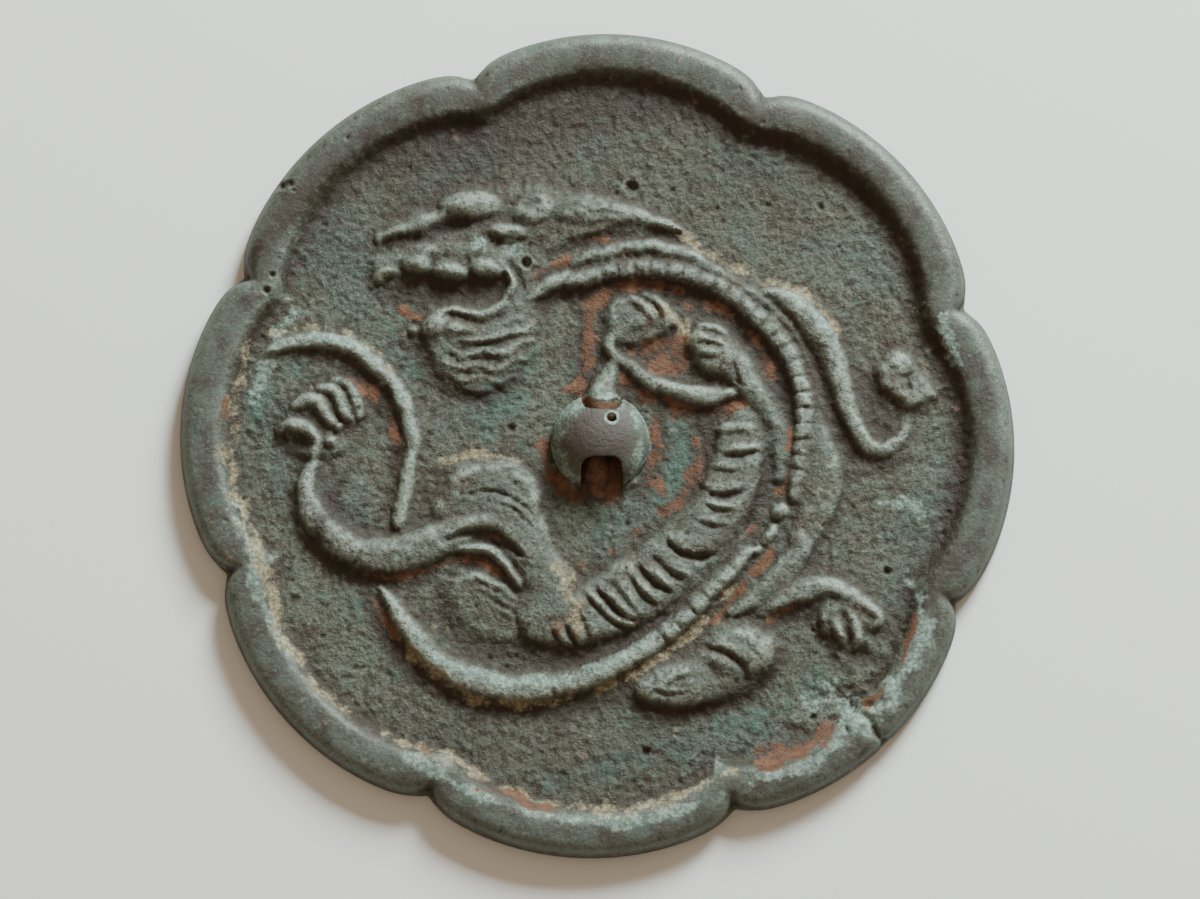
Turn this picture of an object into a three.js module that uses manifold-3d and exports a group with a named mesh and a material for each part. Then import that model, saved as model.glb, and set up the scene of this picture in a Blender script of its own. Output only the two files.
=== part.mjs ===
// A bronze mirror with eight lobes, cast in one piece.
// It lies on its polished face, with the decorated back up: a raised rounded rim, a sunken field,
// a domed knob pierced for a cord, and a dragon in relief that coils round the knob.
// Millimetres, +Z up. The origin is the middle of the polished face, which is flat.
import * as THREE from "three";
import { mergeVertices } from "three/addons/utils/BufferGeometryUtils.js";
import Module from "manifold-3d";

// Plate and rim
const MIRROR_RADIUS = 75; // from the centre to the crest of a lobe
const NOTCH_DEPTH = 3; // how far the arcs of the lobes fall from that radius to their notch
const FOOT_NOTCH_DEPTH = 4.2; // the same along the foot of the rim's inner slope
const CLEFT_DEPTH = 3; // the short cleft that goes on inwards from the notch
const CLEFT_SPAN = 1.6; // degrees from the notch in which the cleft fades
const CLEFT_WEB = 1.7; // how far casting flash fills the cleft again at the foot of the edge
const NOTCH_ANGLES = [20.5, 64.5, 108.5, 154.5, 199.5, 244.5, 290.5, 335.8]; // degrees from +X
const FIELD_THICKNESS = 3; // polished face to the sunken field
const RIM_THICKNESS = 6; // polished face to the crest of the rim
const EDGE_HEIGHT = 2.2; // polished face to the outermost line of the edge
const EDGE_UNDERCUT = 0.8; // how far the edge draws in below that line
const CREST_INSET = 4.5; // outermost line to the crest of the rim
const FOOT_INSET = 9.3; // outermost line to the foot of the rim's inner slope

// Knob and the hole for its cord
const KNOB_CENTRE = [0.5, 0];
const KNOB_RADIUS = 9;
const KNOB_HEIGHT = 7.6; // above the field
const HOLE_CENTRE_X = 0.9;
const HOLE_WIDTH = 6.6; // at the middle of the knob
const HOLE_HEIGHT = 5; // above the field, at the middle of the knob
const MOUTH_WIDTH = 8.4; // where the hole comes out
const NEAR_MOUTH_RISE = 2.2; // how much the hole's roof rises towards the worn mouth, at -Y
const FAR_MOUTH_RISE = 1.3; // and towards the other mouth
const ARCH_SQUARENESS = 0.6; // 1 is a round arch, and less is squarer
const HOLE_OVERRUN = 2; // how far the cut runs on past the knob

// Relief. The figure's places are shares of its span, so a change of span keeps the drawing.
const FIGURE_SPAN = 100; // the drawing below is written for a span of 100
const RELIEF_HEIGHT = 3; // the highest part of the dragon, above the field
const RELIEF_ROOT = 1.2; // how deep every form is rooted in the plate
const ROLL_FULLNESS = 0.82; // 1 is a round roll, and less is squarer
const BLUNT_END = 0.3; // a roll's first and last section, as a share of its full one

// Facets
const LOBE_STEPS = [0, 0.025, 0.08, 0.2, 0.35, 0.5, 0.65, 0.8, 0.92, 0.975]; // shares of a lobe
const SLOPE_STEPS = 4;
const RING_SPACING = 3.2;
const SECTION_STEPS = 5;
const SLIM_SECTION_STEPS = 3; // for forms that are slimmer than SLIM_HALF_WIDTH
const SLIM_HALF_WIDTH = 1.3;
const DOME_STEPS = 7;
const DOME_SIDES = 28;
const HOLE_SIDES = 12;

const BRONZE = new THREE.MeshStandardMaterial({ color: 0x56605c, roughness: 0.62, metalness: 0.55 });

const wasm = await Module();
wasm.setup();

// Radius of a line of the plate at an angle. Each lobe is one arc through its crest that falls by
// the notch's depth to both its ends, where a short cleft goes on inwards.
function outlineRadius(degrees, notchDepth, cleftDepth) {
  const turn = ((degrees % 360) + 360) % 360;
  const after = NOTCH_ANGLES.findIndex((angle) => angle > turn);
  const end = after < 0 ? NOTCH_ANGLES[0] + 360 : NOTCH_ANGLES[after];
  const start = after < 0 ? NOTCH_ANGLES.at(-1) : (NOTCH_ANGLES[after - 1] ?? NOTCH_ANGLES.at(-1) - 360);
  const halfSpan = THREE.MathUtils.degToRad((end - start) / 2);
  const offAxis = THREE.MathUtils.degToRad(turn - (start + end) / 2);
  const toNotch = Math.min(turn - start, end - turn);
  const notchRadius = MIRROR_RADIUS - notchDepth;
  const sum = MIRROR_RADIUS ** 2 - notchRadius ** 2;
  const arcCentre = sum / (2 * (MIRROR_RADIUS - notchRadius * Math.cos(halfSpan)));
  const arcRadius = MIRROR_RADIUS - arcCentre;
  const across = arcCentre * Math.sin(offAxis);
  const arc = arcCentre * Math.cos(offAxis) + Math.sqrt(arcRadius ** 2 - across ** 2);
  return arc - cleftDepth * Math.exp(-Math.abs(toNotch) / CLEFT_SPAN);
}

// The plate's section from the underside, up the outer edge, over the rim and down to the field,
// as [inset from the outermost line, height, depth of the notches and of their clefts there].
function rimSection() {
  const webbed = CLEFT_DEPTH - CLEFT_WEB;
  const section = [
    [EDGE_UNDERCUT, 0, NOTCH_DEPTH, webbed],
    [EDGE_UNDERCUT / 4, EDGE_HEIGHT / 3, NOTCH_DEPTH, webbed],
  ];
  const line = (inset, height) => {
    const share = inset / FOOT_INSET;
    const notch = NOTCH_DEPTH + (FOOT_NOTCH_DEPTH - NOTCH_DEPTH) * share;
    section.push([inset, height, notch, CLEFT_DEPTH * (1 - share) ** 2]);
  };
  for (let i = 0; i <= SLOPE_STEPS; i++) {
    const turn = (i / SLOPE_STEPS) * (Math.PI / 2);
    const rise = (RIM_THICKNESS - EDGE_HEIGHT) * Math.sin(turn);
    line(CREST_INSET * (1 - Math.cos(turn)), EDGE_HEIGHT + rise);
  }
  for (let i = 1; i <= SLOPE_STEPS; i++) {
    const share = i / SLOPE_STEPS;
    const fall = (RIM_THICKNESS - FIELD_THICKNESS) * (0.5 - 0.5 * Math.cos(Math.PI * share));
    line(CREST_INSET + (FOOT_INSET - CREST_INSET) * share, RIM_THICKNESS - fall);
  }
  return section;
}

// Skins a stack of rings, each a closed loop of the same number of points, and closes both ends.
function skin(rings) {
  const sides = rings[0].length;
  const middles = [rings[0], rings.at(-1)].map((ring) =>
    ring.reduce((sum, p) => sum.add(p), new THREE.Vector3()).divideScalar(sides),
  );
  const points = [...rings.flat(), ...middles];
  const faces = [];
  const last = (rings.length - 1) * sides;
  for (let side = 0; side < sides; side++) {
    const next = (side + 1) % sides;
    for (let ring = 0; ring < last; ring += sides) {
      faces.push(ring + side, ring + next, ring + sides + next);
      faces.push(ring + side, ring + sides + next, ring + sides + side);
    }
    faces.push(points.length - 2, next, side);
    faces.push(points.length - 1, last + side, last + next);
  }
  const geometry = new THREE.BufferGeometry().setFromPoints(points);
  geometry.setIndex(faces);
  return geometry;
}

// A closed geometry as a solid. One that was skinned inside out is turned round first.
function solidOf(geometry) {
  const bare = geometry.clone();
  bare.deleteAttribute("normal");
  bare.deleteAttribute("uv");
  const merged = mergeVertices(bare, 1e-4);
  const build = (triVerts) =>
    new wasm.Manifold(
      new wasm.Mesh({ numProp: 3, vertProperties: merged.attributes.position.array, triVerts }),
    );
  const solid = build(new Uint32Array(merged.index.array));
  return solid.volume() < 0 ? build(new Uint32Array(merged.index.array).reverse()) : solid;
}

function plate() {
  const angles = NOTCH_ANGLES.flatMap((start, i) => {
    const end = NOTCH_ANGLES[i + 1] ?? NOTCH_ANGLES[0] + 360;
    return LOBE_STEPS.map((share) => start + (end - start) * share);
  });
  const rings = rimSection().map(([inset, height, notchDepth, cleftDepth]) =>
    angles.map((angle) => {
      const radius = outlineRadius(angle, notchDepth, cleftDepth) - inset;
      const turn = THREE.MathUtils.degToRad(angle);
      return new THREE.Vector3(radius * Math.cos(turn), radius * Math.sin(turn), height);
    }),
  );
  return solidOf(skin(rings));
}

function knob() {
  const profile = [new THREE.Vector2(0, -RELIEF_ROOT), new THREE.Vector2(KNOB_RADIUS, -RELIEF_ROOT)];
  for (let i = 0; i < DOME_STEPS; i++) {
    const turn = (i / DOME_STEPS) * (Math.PI / 2);
    profile.push(new THREE.Vector2(KNOB_RADIUS * Math.cos(turn), KNOB_HEIGHT * Math.sin(turn)));
  }
  profile.push(new THREE.Vector2(0, KNOB_HEIGHT));
  const dome = new THREE.LatheGeometry(profile, DOME_SIDES);
  dome.rotateX(Math.PI / 2);
  dome.translate(KNOB_CENTRE[0], KNOB_CENTRE[1], FIELD_THICKNESS);
  return solidOf(dome).subtract(cordHole());
}

// The hole is an arch that runs along Y, and opens like a trumpet at both mouths.
function cordHole() {
  const reach = KNOB_RADIUS + HOLE_OVERRUN;
  const stations = [
    [-reach, MOUTH_WIDTH, HOLE_HEIGHT + NEAR_MOUTH_RISE * 1.3],
    [-KNOB_RADIUS / 3, MOUTH_WIDTH, HOLE_HEIGHT + NEAR_MOUTH_RISE],
    [KNOB_RADIUS / 8, HOLE_WIDTH, HOLE_HEIGHT],
    [KNOB_RADIUS * 0.6, MOUTH_WIDTH, HOLE_HEIGHT + FAR_MOUTH_RISE],
    [reach, MOUTH_WIDTH, HOLE_HEIGHT + FAR_MOUTH_RISE * 1.5],
  ];
  const rings = stations.map(([along, width, height]) =>
    [...Array(HOLE_SIDES + 1).keys()].map((step) => {
      const turn = (step / HOLE_SIDES) * Math.PI;
      const side = Math.sign(Math.cos(turn)) * Math.abs(Math.cos(turn)) ** ARCH_SQUARENESS;
      const x = HOLE_CENTRE_X + (width / 2) * side;
      const floor = -RELIEF_ROOT / 2;
      const z = floor + (height - floor) * Math.sin(turn) ** ARCH_SQUARENESS;
      return new THREE.Vector3(x, KNOB_CENTRE[1] + along, FIELD_THICKNESS + z);
    }),
  );
  return solidOf(skin(rings));
}

// A form of the relief follows a smooth line through points [x, y, half width, height], where the
// height is a share of the relief's. Its section is a round roll rooted in the plate. Beads and
// folds pinch the roll at an even pitch, by a share of its size.
function roll(points, { pitch = 0, pinch = 0.3, from = 0, to = 1 } = {}) {
  const unit = FIGURE_SPAN / 100;
  const line = new THREE.CatmullRomCurve3(points.map(([x, y]) => new THREE.Vector3(x * unit, y * unit, 0)));
  const size = new THREE.CatmullRomCurve3(
    points.map(([, , width, height]) => new THREE.Vector3(width * unit, height * RELIEF_HEIGHT, 0)),
  );
  const length = line.getLength();
  const spacing = pitch ? (pitch * unit) / 2 : RING_SPACING;
  const count = 2 * Math.max(2, Math.round(length / spacing / 2));
  const ends = [points[0][2] * unit, points.at(-1)[2] * unit];
  const widest = Math.max(...points.map((point) => point[2]));
  const sectionSteps = widest < SLIM_HALF_WIDTH ? SLIM_SECTION_STEPS : SECTION_STEPS;
  const rings = [];
  for (let i = 0; i <= count; i++) {
    const share = i / count;
    const place = line.getUtoTmapping(share);
    const at = line.getPoint(place);
    const { x: halfWidth, y: height } = size.getPoint(place);
    const along = line.getTangent(place);
    const inside = share >= from && share <= to;
    const swell = pitch && inside && i % 2 === 0 ? 1 - pinch : 1;
    const fromEnd = Math.min((share * length) / ends[0], ((1 - share) * length) / ends[1]);
    const close = fromEnd < 1 ? Math.max(BLUNT_END, Math.sqrt(1 - (1 - fromEnd) ** 2)) : 1;
    const width = halfWidth * close * (0.5 + swell / 2);
    rings.push(rollSection(at, along, width, height * close * swell, sectionSteps));
  }
  return solidOf(skin(rings));
}

function rollSection(at, along, halfWidth, height, steps) {
  const across = new THREE.Vector3(-along.y, along.x, 0).normalize();
  const section = [];
  for (let step = 0; step <= steps; step++) {
    const turn = (step / steps) * Math.PI;
    const side = Math.sign(Math.cos(turn)) * Math.abs(Math.cos(turn)) ** ROLL_FULLNESS;
    section.push([halfWidth * side, height * Math.sin(turn) ** ROLL_FULLNESS]);
  }
  section.push([-halfWidth, -RELIEF_ROOT], [halfWidth, -RELIEF_ROOT]);
  return section.map(([side, up]) =>
    at.clone().addScaledVector(across, side).setZ(FIELD_THICKNESS + up),
  );
}

// Strands of hair lie evenly between two guide lines that have the same number of points.
function strands(first, last, count, halfWidth, height) {
  return [...Array(count).keys()].map((strand) => {
    const share = strand / (count - 1);
    const points = first.map(([x, y], i) => {
      const taper = i === 0 || i === first.length - 1 ? 0.6 : 1;
      const [endX, endY] = last[i];
      return [x + (endX - x) * share, y + (endY - y) * share, halfWidth * taper, height * taper];
    });
    return roll(points);
  });
}

// A paw is a palm with hooked toes. Each toe is [direction in degrees, length], and curls by hook.
function paw([x, y], palm, toes, hook, toeWidth) {
  const at = (direction, distance) => {
    const turn = THREE.MathUtils.degToRad(direction);
    return [x + distance * Math.cos(turn), y + distance * Math.sin(turn)];
  };
  const made = toes.map(([direction, length]) =>
    roll([
      [...at(direction, palm * 0.5), toeWidth, 0.55],
      [...at(direction + hook * 0.1, palm * 0.6 + length * 0.5), toeWidth, 0.72],
      [...at(direction + hook * 0.6, palm * 0.6 + length * 0.85), toeWidth * 0.8, 0.6],
      [...at(direction + hook, palm * 0.6 + length), toeWidth * 0.5, 0.35],
    ]),
  );
  return [roll([[x - palm / 2, y, palm, 0.6], [x + palm / 2, y, palm, 0.6]]), ...made];
}

function head() {
  return [
    roll([
      [-37, 36.5, 2, 0.28], [-31, 37.5, 3.2, 0.35], [-22, 38, 4.2, 0.4], [-12, 39, 5, 0.5],
      [-5, 38.5, 4, 0.4],
    ]),
    roll([
      [-11.5, 38, 4.6, 0.55], [-12.2, 34.5, 5, 0.62], [-13.6, 30.5, 3.8, 0.62], [-15.2, 27, 2, 0.5],
    ]), // cheek
    roll([
      [-38, 39, 0.9, 0.6], [-34.5, 39.8, 1.2, 0.75], [-31, 41, 1.4, 0.75], [-29.5, 40.6, 1, 0.6],
    ]), // nose
    roll([[-27.6, 43.6, 1.6, 1], [-23.5, 44.5, 2.3, 1.15], [-18.6, 43.3, 1.8, 1]]), // brow
    roll([[-15.2, 42.7, 1.8, 0.8], [-12, 44, 2.8, 0.95], [-9, 44.3, 2, 0.8]]), // ear
    roll([[-19.8, 40, 0.7, 0.7], [-16.3, 39.2, 1.2, 0.85], [-12.8, 38.2, 0.8, 0.7]]), // lower lid
    roll([
      [-9, 42.6, 2.6, 0.8], [-3, 42.4, 3.3, 0.95], [3, 42, 3, 0.9], [9, 41, 2, 0.75],
      [15.5, 37.8, 0.8, 0.4],
    ]), // mane
    roll([
      [-38.5, 32.8, 0.9, 0.5], [-34.5, 34, 1.3, 0.8], [-31, 34.2, 1.3, 0.8], [-25, 34.6, 1.2, 0.75],
      [-19, 35, 1.3, 0.7],
    ]), // lip
    roll([[-27.8, 32.4, 1.6, 1], [-25.6, 31.6, 1.8, 1]]), // lip curl
    roll([[-21.8, 32.9, 1.5, 0.95], [-19, 32.4, 1.5, 0.9]]), // lip curl
    roll([[-17.6, 32, 0.6, 0.85], [-15.6, 29.9, 0.6, 0.85], [-14.6, 28, 0.5, 0.7]]), // edge of the lip
    roll([
      [-30.6, 21.8, 0.9, 0.65], [-29.4, 23.8, 1, 0.8], [-25, 24.4, 1, 0.8], [-20, 23.8, 1, 0.75],
      [-16.6, 26, 1.1, 0.8],
    ]), // jaw
    roll([
      [-28, 20.8, 1.1, 0.75], [-24.5, 21.5, 1.5, 0.8], [-19, 21, 1.5, 0.75], [-11.6, 23, 1, 0.6],
    ]), // chin
    roll([[-27, 16.5, 2.6, 0.32], [-20, 16, 5, 0.42], [-12, 18.5, 3.4, 0.35]]), // beard
    ...strands(
      [[-25.5, 19.4], [-21.5, 18], [-16, 18.4], [-10.5, 20.4]],
      [[-28, 14.8], [-23.5, 12.3], [-19, 11.9], [-15.5, 13.2]],
      4, 0.8, 0.6,
    ),
  ];
}

function body() {
  return [
    roll([
      [-9, 32, 3, 0.3], [0, 34, 3, 0.34], [12, 35, 3, 0.34], [22, 31.5, 3, 0.34], [30, 26, 3, 0.34],
      [36, 18, 3, 0.34], [38.8, 9, 2.6, 0.34], [39.2, 1, 3, 0.34], [37.5, -9, 4, 0.34],
      [33, -17, 4, 0.34], [26, -25, 3.4, 0.34],
    ]), // skin between the ridges
    roll([
      [-9.5, 30.5, 0.9, 0.5], [-4, 33.4, 1.5, 0.62], [4, 35, 1.5, 0.65], [11, 35.6, 1.5, 0.62],
      [18, 33.5, 1.4, 0.6], [24, 30, 0.8, 0.5],
    ]), // neck
    roll(
      [
        [-12.8, 25.9, 0.8, 0.55], [-7, 28.8, 1.7, 0.8], [0, 30.2, 1.8, 0.9], [9, 31.4, 1.7, 0.92],
        [17, 30.3, 1.7, 0.92], [25, 26.3, 1.7, 0.92], [31, 21.2, 1.7, 0.92], [35.2, 15.2, 1.7, 0.9],
        [37.5, 8, 1.6, 0.9], [37.6, 2, 1.7, 0.9], [36.6, -5, 1.6, 0.8], [35.6, -10, 1.2, 0.6],
      ],
      { pitch: 2.7, from: 0.12, to: 0.93 },
    ), // upper back ridge
    roll([
      [39.8, 5, 0.9, 0.4], [41.2, 0, 2, 0.55], [41.3, -6, 2.9, 0.6], [40.3, -12, 3, 0.6],
      [37, -18.5, 2.2, 0.62], [32.5, -24, 1.7, 0.65], [24.5, -29.8, 1, 0.45],
    ]), // flank
    roll([[32.3, -11.5, 1.7, 0.8], [33.4, -12.8, 1.7, 0.8]]), // loose bead of the ridge
    roll([[31.8, -15, 1.2, 0.75], [29.2, -18.8, 1.2, 0.7]]), // loose bead of the ridge
    roll(
      [
        [27.6, -20.6, 1.6, 0.75], [20.5, -27, 2, 0.85], [13, -33.8, 2.1, 0.85], [5, -39.6, 2, 0.85],
        [-4, -43, 2, 0.85], [-14, -44.3, 2.1, 0.85], [-24, -42, 2.3, 0.85], [-31.5, -36.4, 2.3, 0.85],
        [-36, -30.5, 1.6, 0.75], [-38.9, -26, 0.5, 0.5],
      ],
      { pitch: 4.6, pinch: 0.22, to: 0.24 },
    ), // lower back ridge
    roll(
      [
        [25.5, 3.8, 3, 0.65], [25.4, -1.5, 4.5, 0.78], [24.3, -7, 4.9, 0.82], [21.3, -13, 5.3, 0.85],
        [16, -19.3, 5.6, 0.9], [9.5, -24.6, 5.9, 0.95], [2, -29, 6, 1], [-5, -31.8, 5, 0.95],
        [-11, -31.6, 4, 0.85],
      ],
      { pitch: 3.5, pinch: 0.2, to: 0.86 },
    ), // belly
  ];
}

function limbs() {
  return [
    // Fore leg inside the coil, from the flank up to the shoulder, and back along the fore arm
    roll([
      [32.4, -5.6, 1.2, 0.5], [33.1, 0, 1.9, 0.65], [31.5, 5.5, 2, 0.7], [28, 9.4, 2.2, 0.75],
      [25.2, 12.6, 3, 0.85], [21.8, 16.8, 4.4, 0.95], [18.6, 20.2, 3.2, 0.75],
    ]),
    roll([
      [25.6, 11.4, 1.4, 0.6], [20, 9.5, 2.1, 0.75], [14, 9.6, 2.1, 0.75], [8.2, 12.2, 1.5, 0.65],
      [3.4, 15.8, 1.5, 0.65], [2.4, 18, 1.6, 0.65], [6, 20.3, 2.2, 0.7],
    ]),
    roll([[2.8, 15, 1.2, 0.5], [3, 12, 1.9, 0.55], [2.6, 9, 1.9, 0.45]]), // joins the knob
    // Fore leg outside the coil
    roll([
      [30.8, 27.3, 0.8, 0.5], [35, 26.4, 1.8, 0.7], [40, 21.5, 2.4, 0.85], [43.3, 14.5, 2.5, 0.85],
      [44.9, 7, 2.1, 0.8], [46.6, 1.7, 1.8, 0.75], [50.2, -0.8, 1.7, 0.72], [53.8, 0.4, 1.5, 0.65],
      [55.2, 3.8, 1.2, 0.5],
    ]),
    // Hind leg at the left, from the hip round to its ankle, with the thigh and the fold under it
    roll([
      [-6.5, -27, 3.6, 0.85], [-11, -19, 3, 0.82], [-16.5, -14.8, 2.5, 0.8], [-22.5, -14.8, 2.8, 0.82],
      [-29, -17.3, 3.5, 0.9], [-36, -19.2, 3.8, 0.95], [-43, -18, 3.5, 0.92],
      [-48.5, -13.8, 2.9, 0.85], [-51.3, -8.2, 2.1, 0.75], [-51, -4, 1.3, 0.55],
    ]),
    roll([
      [-17, -6, 3.4, 0.5], [-16.8, -9.6, 6.6, 0.68], [-13.5, -15.5, 6, 0.72], [-9.5, -22, 4.6, 0.78],
      [-9, -27, 4.6, 0.8],
    ]),
    roll([
      [-27, -19.4, 0.8, 0.5], [-21, -18.8, 1.2, 0.62], [-16, -21, 1.4, 0.65], [-12.8, -25.6, 1.4, 0.6],
    ]),
    ...strands(
      [[-24.5, -25.2], [-20, -24.8], [-15, -28]],
      [[-20.5, -32], [-17.5, -30.6], [-14, -31]],
      4, 0.9, 0.5,
    ),
    // Hind leg at the lower right: haunch of a low lobe and a dome, then shank and foot
    roll([[8.4, -44, 2.2, 0.5], [13, -43.2, 3.7, 0.76], [18, -42.8, 4, 0.78], [22, -42.4, 3.4, 0.6]]),
    roll([[20.4, -37.8, 3.4, 0.6], [25.4, -37.6, 4.7, 0.86], [29.4, -37.2, 3.9, 0.7]]),
    roll([[19.6, -41, 3, 0.62], [26.8, -41.2, 3.4, 0.66]]),
    roll([
      [31, -30, 1.4, 0.45], [35, -28, 2.3, 0.68], [40, -27, 2.2, 0.72], [45, -28.4, 2, 0.7],
      [48, -30.6, 1.5, 0.6],
    ]),
    // Tail
    roll([
      [-36.4, -13, 1.3, 0.4], [-35.4, -8, 1.7, 0.5], [-33.9, -2, 1.5, 0.5], [-34.2, 4, 1.4, 0.55],
      [-37, 11, 1.6, 0.6], [-42, 16.4, 1.5, 0.6], [-49, 18.8, 1.4, 0.55], [-55, 17.8, 1, 0.45],
      [-59.6, 15.8, 0.4, 0.25],
    ]),
    ...paw([8.4, 21.8], 2.6, [[10, 4.4], [45, 4.6], [80, 4.8], [118, 5.4], [160, 4.6]], 24, 1.1),
    roll([[51.8, 12.6, 2.2, 0.5], [54.4, 13.8, 2.8, 0.72], [57.2, 11.8, 2.6, 0.62], [59.6, 9.4, 1.5, 0.5]]),
    roll([[52.8, 10.4, 2, 0.55], [56.4, 8.6, 2, 0.55]]), // worn toes of the outer fore paw
    ...paw([-48.4, 3.2], 3, [[192, 7.6], [158, 6.8], [122, 6.2], [88, 6], [56, 6.6], [268, 3.6]], -22, 1.2),
    ...paw([46.2, -31.4], 1.8, [[350, 4], [292, 5.2], [242, 5.4], [205, 5.2]], 18, 0.95),
  ];
}

function bronzeMirror() {
  const solid = wasm.Manifold.union([plate(), knob(), ...head(), ...body(), ...limbs()]);
  const mesh = solid.getMesh();
  const geometry = new THREE.BufferGeometry();
  geometry.setAttribute("position", new THREE.BufferAttribute(mesh.vertProperties, 3));
  geometry.setIndex(new THREE.BufferAttribute(mesh.triVerts, 1));
  geometry.computeBoundingBox();
  const middle = geometry.boundingBox.getCenter(new THREE.Vector3());
  geometry.translate(-middle.x, -middle.y, 0);
  geometry.computeVertexNormals();
  const made = new THREE.Mesh(geometry, BRONZE);
  made.name = "bronze_mirror";
  return made;
}

const mirror = new THREE.Group();
mirror.add(bronzeMirror());
export default mirror;
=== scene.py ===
# %% [markdown]
# A lobed bronze mirror with a coiled dragon
#
# The real thing is one casting of bronze. It lies on its polished face, so that its decorated back
# is up: a raised rim with eight lobes, a sandy sunken field, a domed knob that is pierced for a
# cord, and a dragon in relief that coils round the knob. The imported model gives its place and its
# size across. This lesson models the same casting again with all its fine relief, and then gives
# it the patina, clay and wear of an excavated bronze.

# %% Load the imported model
import math
import bpy
import numpy as np
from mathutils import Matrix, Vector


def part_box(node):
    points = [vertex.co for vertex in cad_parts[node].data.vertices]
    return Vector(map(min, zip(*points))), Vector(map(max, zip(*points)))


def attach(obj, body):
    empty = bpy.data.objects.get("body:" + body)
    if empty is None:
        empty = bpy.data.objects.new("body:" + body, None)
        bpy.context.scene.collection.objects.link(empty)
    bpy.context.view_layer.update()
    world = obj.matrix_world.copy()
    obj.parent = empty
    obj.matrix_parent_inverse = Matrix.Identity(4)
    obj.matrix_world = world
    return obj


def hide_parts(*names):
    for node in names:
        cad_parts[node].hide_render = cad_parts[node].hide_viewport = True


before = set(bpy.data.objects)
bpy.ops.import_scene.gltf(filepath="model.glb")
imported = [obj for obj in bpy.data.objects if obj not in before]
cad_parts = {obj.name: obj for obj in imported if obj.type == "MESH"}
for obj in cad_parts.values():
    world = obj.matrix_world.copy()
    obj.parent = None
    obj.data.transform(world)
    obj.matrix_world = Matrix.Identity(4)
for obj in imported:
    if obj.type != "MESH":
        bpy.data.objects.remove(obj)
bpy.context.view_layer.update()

MM = 0.001
SOLID = "bronze_mirror"
low_corner, high_corner = [np.array(corner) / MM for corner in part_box(SOLID)]
print("solid from", low_corner.round(2), "to", high_corner.round(2), "mm")


# %% [markdown]
# Working clean
#
# Blender's operators act on everything that is selected, and loading leaves the solid selected.
# So each step starts from an empty selection. The helpers here do that, read a mesh's vertices as
# one array of millimetres, and write them back.

# %% Helpers for selection and vertices
def start_clean():
    if bpy.context.mode != "OBJECT":
        bpy.ops.object.mode_set(mode="OBJECT")
    bpy.ops.object.select_all(action="DESELECT")


def choose(piece):
    start_clean()
    piece.select_set(True)
    bpy.context.view_layer.objects.active = piece


def read_points(mesh):
    flat = np.empty(len(mesh.vertices) * 3)
    mesh.vertices.foreach_get("co", flat)
    return flat.reshape(-1, 3) / MM


def write_points(mesh, points):
    mesh.vertices.foreach_set("co", (points * MM).ravel())
    mesh.update()


def settle(piece):
    """Moves a piece's place, turn and size into its mesh, so that its object is at the origin."""
    choose(piece)
    bpy.ops.object.transform_apply(location=True, rotation=True, scale=True)


start_clean()


# %% [markdown]
# The outline
#
# Each lobe is one arc that passes near its two notches and through its crest, and at the notch the
# two arcs break into a short cleft. The notches of the real mirror aren't quite evenly spaced, so
# their angles are measured. Further in, the lines of the rim lose the cleft and turn their corners
# softer. Low down, a thin web of flash fills the cleft.

# %% The lobed outline as a function of the angle
CREST_LOSS = 0.04  # no lobe's crest lies right on the x axis, so the box falls this short of it
RADIUS = (high_corner[0] - low_corner[0]) / 2 + CREST_LOSS
NOTCHES = np.array([20.5, 64.5, 108.5, 154.5, 199.5, 244.5, 290.5, 335.8])
ANGLE_STEPS = 2880
turn_table = np.arange(ANGLE_STEPS) * 360 / ANGLE_STEPS


def lobed_line(arc_depth, cleft_depth, cleft_span, softness):
    """Radius at each angle, with arcs, clefts of some degrees, and a blur of some degrees."""
    notch_radius = RADIUS - arc_depth
    ends = np.append(NOTCHES, NOTCHES[0] + 360)
    turned = np.where(turn_table < NOTCHES[0], turn_table + 360, turn_table)
    lobe = np.searchsorted(ends, turned, side="right") - 1
    start, end = ends[lobe], ends[lobe + 1]
    half_span = np.radians((end - start) / 2)
    off_axis = np.radians(turned - (start + end) / 2)
    centre = (RADIUS**2 - notch_radius**2) / (2 * (RADIUS - notch_radius * np.cos(half_span)))
    arc = RADIUS - centre
    values = centre * np.cos(off_axis) + np.sqrt(arc**2 - (centre * np.sin(off_axis)) ** 2)
    to_notch = np.minimum(turned - start, end - turned)
    values -= cleft_depth * np.exp(-to_notch / cleft_span)
    kernel = np.exp(-0.5 * (((turn_table + 180) % 360 - 180) / softness) ** 2)
    return np.fft.irfft(np.fft.rfft(values) * np.fft.rfft(kernel / kernel.sum()), ANGLE_STEPS)


LINES_AT = np.array([0.0, 2.0, 5.0, 8.0, 11.0])
LINES = [
    (3.0, 3.0, 1.5, 0.25), (3.3, 2.4, 2.0, 0.4), (3.9, 1.3, 2.5, 0.7), (4.2, 0.4, 3.0, 1.1),
    (4.2, 0.0, 1.0, 1.7),
]  # depth of the arcs, depth and span of the clefts, and softness, at each inset of LINES_AT
WEB_LINE = (3.0, 1.4, 2.0, 0.3)
outline = lobed_line(*LINES[0])
web_outline = lobed_line(*WEB_LINE)
line_tables = np.array([lobed_line(*line) for line in LINES])


def look_up(table, angle):
    place = (np.degrees(angle) % 360) / 360 * ANGLE_STEPS
    low = np.floor(place).astype(int)
    share = place - low
    return table[low % ANGLE_STEPS] * (1 - share) + table[(low + 1) % ANGLE_STEPS] * share


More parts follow.
